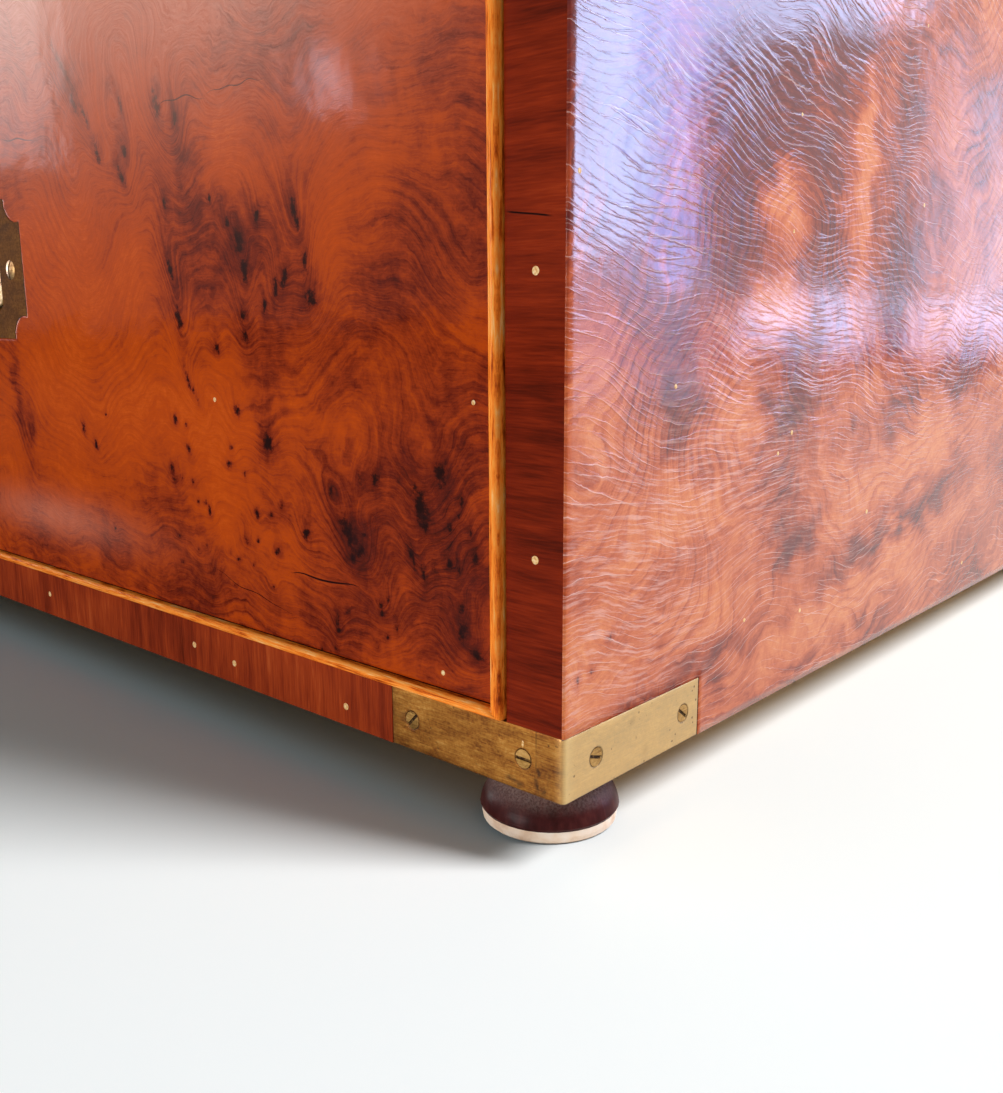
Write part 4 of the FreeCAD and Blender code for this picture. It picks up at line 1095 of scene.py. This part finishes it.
# The eyes, each (x, z, half width, half height, lean), from the upper left to the lower right.
BOTTOM_EYES = [
    (97, 240, 1.6, 12, 38), (104, 226, 2, 6, 35), (111, 221, 1.2, 5, 30), (136, 222, 1.2, 4, 20),
    (118, 207, 2, 4, 30), (136, 207, 1.8, 4, 30), (133.5, 198, 1.6, 5, 30), (159, 219, 2.4, 6, 15),
    (170, 214, 1.5, 3, 0), (160, 187, 1.4, 3, 15), (161, 165, 1.6, 6, 20), (164.4, 148.5, 2.2, 7, 15),
    (196, 179, 1.8, 2, 0), (202, 172.7, 2.6, 5, 10), (204, 164, 2, 5, 10), (212, 180, 1.6, 2.4, 0),
    (230.5, 181.7, 1.8, 4, 15), (232, 177, 1.4, 2.4, 10), (224.5, 161, 1.6, 4, -15), (220, 158, 1.5, 4, -10),
    (214, 152.7, 1.2, 3, 0), (202, 150, 1.8, 3, 10), (235, 166, 1.2, 3.5, 0), (202.5, 143.2, 2, 2.5, 0),
    (186.3, 139, 1.6, 2.5, 0), (187, 187, 1, 1.5, 0), (237, 155, 3, 3, 0), (167.5, 127.9, 1.4, 5, 25),
    (171, 123.5, 1, 4, 30), (90.7, 105.6, 1.6, 2.5, 15), (99.4, 99.5, 1.4, 2.8, 20),
    (157.5, 113, 2, 2.2, 0), (164.5, 111.7, 1, 1.2, 0), (165, 103, 1.4, 3, 30), (153.2, 95, 1.8, 2.2, 0),
    (154.5, 91.4, 1.4, 1.6, 0), (159.5, 92, 1, 1, 0), (166.5, 91.5, 1, 1.4, 0), (169, 84.5, 1, 1.2, 0),
    (173.5, 85, 1.2, 1.2, 0), (176, 82, 1.4, 2.2, 10), (196, 118.5, 2.2, 2.6, 0), (191, 106, 1.4, 1.6, 0),
    (189.7, 99.7, 2, 2, 0), (198.3, 97.4, 1.2, 1.2, 0), (212, 109, 3, 4.5, 0), (203.9, 84.5, 1.4, 2, 15),
    (211.7, 85, 1, 1, 0), (218, 88.5, 1.4, 1.2, 0), (230, 81.2, 2, 2.4, 0), (243.5, 96.4, 1.8, 2, 0),
    (257, 101, 1.2, 2, 0), (264, 102, 2.2, 2.6, 0), (251, 84, 3, 7, 30), (258.5, 84.5, 1, 1.2, 0),
    (256, 79, 2.5, 2.2, 0), (252.5, 76.5, 2, 1.6, 0), (291, 106.3, 2.6, 4.6, 10), (283, 95.5, 3, 8, 20),
    (299.4, 99, 1, 1.6, 0), (298, 95, 0.9, 0.9, 0), (294.5, 91.5, 1.4, 1.4, 0), (302.3, 91, 1, 1.2, 0),
    (278.5, 81.7, 1.5, 4, 20), (283.5, 76.5, 1, 3, 10), (288, 78.5, 1, 1.5, 0), (294.3, 80.8, 1.4, 2, 0),
    (297.9, 79.8, 1.2, 1.8, 0), (304.3, 84.2, 2, 2.5, 0), (197, 74, 1.6, 1.4, 0), (203.7, 75, 1.2, 1.1, 0),
    (186.6, 68.5, 1, 0.9, 0), (192, 67, 1.3, 1.1, 0), (214, 72.5, 2, 1.6, 0), (155, 70.3, 1.2, 1, 0),
    (167.5, 67.1, 0.6, 0.6, 0), (172.7, 69, 0.6, 0.6, 0), (156, 60.5, 1, 0.7, 0), (188.5, 57, 1, 0.7, 0),
    (200.5, 66, 0.7, 0.7, 0), (211, 60, 1.2, 0.9, 0), (268, 66, 0.9, 1.4, 0), (264.7, 63.5, 1.2, 1.2, 0),
    (265.5, 60.8, 1.4, 1.2, 0), (271.5, 57, 1, 1.4, 0), (267.5, 53.8, 0.9, 1, 0), (244, 54.7, 1.3, 2.2, 0),
    (249, 58.6, 1, 1.2, 0), (244, 51.5, 1.2, 1.2, 0), (298.9, 69, 1.2, 1.8, 0), (298.5, 61.5, 2.8, 3.4, 0),
    (304.5, 56, 2.6, 2.2, 0), (235.4, 43.2, 0.8, 0.8, 0), (242.6, 45, 1, 1, 0), (262.5, 49.5, 1, 1, 0),
    (109, 67, 1, 0.8, 0), (97, 50, 0.8, 0.8, 0), (109, 112, 1, 0.8, 0)]
# Pale veils of painted reflection: a band about 300 mm up that lies on every drawer front, and more on the
# bottom drawer, for window light mirrored in the polish.
PAINTED_REFLECTION_BAND = (60, 300, 180, 72, 0, 0.85)
BOTTOM_PAINTED_REFLECTIONS = [PAINTED_REFLECTION_BAND, (70, 262, 26, 30, 0, 0.2), (215, 262, 70, 40, 0, 0.4),
                 (60, 66, 60, 9, 0, 0.22), (-120, 250, 80, 40, 0, 0.15)]
BOTTOM_CRACKS = [(219.9, 66.5, 256.2, 67.5, 0.28, 0.5), (173.8, 61, 223.1, 52.4, 0.12, 0.4),
                 (42, 219.3, 71.7, 216.4, 0.25, 0.4), (55.7, 267.2, 64.9, 247.4, 0.25, 0.3),
                 (159.1, 218.9, 187.5, 218.9, 0.2, 0.5), (187.5, 218.9, 220.8, 219.9, 0.15, 0.5)]
OTHER_CLUSTERS = [(-190, 110, 18, 26), (-90, 230, 16, 12), (-260, 220, 14, 12), (-20, 80, 12, 8)]
FINE_FROM = 20          # the cells of a drawer front are wide to the left of this and narrow to the right


def drawer_veneer(drawer, number, handle_z):
    """The sheet of burr on a drawer front, inside its bead."""
    node = drawer + "_drawer_veneer"
    low, high = [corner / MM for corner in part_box(node)]
    fine = 1.1 if drawer == "bottom" else 2.6
    side_lines = plate_lines(0, PLATE_WIDTH, PAN_HOLE[0])
    columns = np.unique(np.concatenate([
        grid_lines(low.x, FINE_FROM, 4.0, side_lines[side_lines < FINE_FROM]),
        grid_lines(FINE_FROM, high.x, fine, side_lines[side_lines > FINE_FROM])]))
    rows = grid_lines(low.z, high.z, fine, plate_lines(handle_z, PLATE_HEIGHT, PAN_HOLE[1]))
    x, z = np.meshgrid(columns, rows)
    if drawer == "bottom":
        drawn = (BOTTOM_HILLS, BOTTOM_PATCHES, BOTTOM_EYES + scattered_eyes(2, OTHER_CLUSTERS),
                 BOTTOM_CRACKS, BOTTOM_PAINTED_REFLECTIONS)
    else:
        drawn = (*burr_of_its_own(90 + number, x, z, 0.15), (), [PAINTED_REFLECTION_BAND])
    plate = plate_inside(x, z - handle_z)
    from_edge = np.minimum(high.x - np.abs(x), np.minimum(z - low.z, high.z - z))
    depth = sink(plate) + unevenness(x, z, 61 + number, 70) * (from_edge > 0.5)
    face = np.stack([x, FRONT + depth, z], axis=2)
    back = np.stack([x, np.full_like(x, high.y), z], axis=2)
    figure = burr_figure(x, z, 51 + 7 * number, (0.05, 1.0), *drawn)
    figure["split"] = np.where(from_edge < 1.2, from_edge / DIRT_WIDTH, figure["split"])
    let_in_edge(figure, plate)
    holes = [hole_cells(columns, rows, 0, handle_z)]
    sheet = piece(node + "_sheet", [closed_sheet(face, back, holes, **figure)], front_burr,
                  drawer + "_drawer", node)
    sheet.visible_diffuse = False


BEAD = 3.2
BEAD_BACK = 7.0


def bead_finish():
    """Straight pale yew polished to amber. The grain follows each strip, by the strip's own length."""
    finish, tree = new_finish("bead_yew")
    drawn = add(tree, "CombineXYZ", {"X": attribute(tree, "along") * 0.05, "Y": attribute(tree, "across"),
                                     "Z": 0.0})
    fibres = spots(drawn, 2.2, 4, 0.7)
    colour = ramp(fibres * 0.6 + spots(drawn, 0.8, 2, 0.5, 0.5) * 0.4, (0.35, "8a300c"), (0.42, "d6601a"),
                  (0.49, "ff8a2c"), (0.57, "ffa246"), (0.67, "ffce8c"))
    return surfaced(finish, colour, 0.45, 0.0, bumped(fibres, 0.4, 0.0003), coat=0.1, coat_roughness=0.15)


bead_yew = bead_finish()


def bead_strip(length, seed):
    """One strip as points (along, depth, across) over its section and its length: flat behind, with a half
    round nose before the face. It grows shorter from the outer edge inwards, so that its ends are mitres."""
    nose = np.radians(np.linspace(180, 0, 15))
    radius = BEAD / 2
    across = np.concatenate([[0, 0], radius + radius * np.cos(nose), [BEAD, BEAD]])
    depth = np.concatenate([[BEAD_BACK, 3.0], -BEAD + radius + 0.2 - radius * np.sin(nose), [3.0, BEAD_BACK]])
    stations = np.linspace(-1, 1, max(24, round(length / 5)) + 1)
    reach = stations[:, None] * (length / 2 - across[None, :])
    wear = 0.06 * drift(reach, 0 * reach, seed, 60, 6) * (np.abs(stations) < 0.999)[:, None]
    wear = wear * ((across > 0.05) & (across < BEAD - 0.05))[None, :]
    deep = depth[None, :] + np.clip(wear, 0, 1)
    return reach, deep, np.repeat(across[None, :], len(stations), axis=0)


def cockbead(drawer, number):
    """Four mitred strips around the edge of a drawer front."""
    node = drawer + "_drawer_cockbead"
    low, high = [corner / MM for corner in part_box(node)]
    width, height = high.x - low.x, high.z - low.z
    middle_x, middle_z = (low.x + high.x) / 2, (low.z + high.z) / 2
    shells = []
    for turn, (length, span) in enumerate(2 * ((width, height), (height, width))):
        along, deep, across = bead_strip(length, 4 * number + turn)
        from_middle = across - span / 2
        cos, sin = (1, 0, -1, 0)[turn], (0, 1, 0, -1)[turn]
        x = middle_x + along * cos - from_middle * sin
        z = middle_z + along * sin + from_middle * cos
        points = np.stack([x, FRONT + deep, z], axis=2).reshape(-1, 3)
        count = np.arange(x.size).reshape(x.shape)
        beside = np.roll(count, -1, axis=1)
        faces = joined_quads(count[:-1], beside[:-1], beside[1:], count[1:])
        smooth = len(faces)
        faces += [count[0, ::-1].tolist(), count[-1].tolist()]
        fields = {"along": along + 900 * turn, "across": across + 7 * turn + 0.3 * deep}
        shells.append((points, faces, smooth, {field: values.ravel() for field, values in fields.items()}))
    piece(node + "_mitred", shells, bead_yew, drawer + "_drawer", node)


plate_brass = aged_brass("plate_brass", ("3e2410", "583416", "6c4420", "88622e"), 0.45, 0.1, 0.3, 0.3, 0.0)
bail_brass = aged_brass("bail_brass", ("7c5a30", "a88350", "c8a574", "e2c69c"), 0.26, 0.95, 0.2, 0.5)
for number, drawer in enumerate(DRAWERS):
    plate_low, plate_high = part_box(drawer + "_handle_plate")
    handle_z = (plate_low.z + plate_high.z) / 2 / MM
    drawer_veneer(drawer, number, handle_z)
    cockbead(drawer, number)
    handle_places = [((offset, FRONT, handle_z), (0, -1, 0), angle)
                     for offset, angle in ((PLATE_SCREW_X, 78), (-PLATE_SCREW_X, 42))]
    screws(drawer + "_handle_screws_slotted", drawer + "_drawer", handle_screw_brass, plate_screw,
           handle_places, drawer + "_handle_screws")
    dress(plate_brass, drawer + "_handle_plate")
    dress(bail_brass, drawer + "_handle_bail")


# ---- Carrying handles ---------------------------------------------------------------------------
# The same flush handle, let into each side above the middle, to lift the chest by.
for side in ("left", "right"):
    dress(plate_brass, "side_handle_plate_" + side)
    dress(bail_brass, "side_handle_bail_" + side)
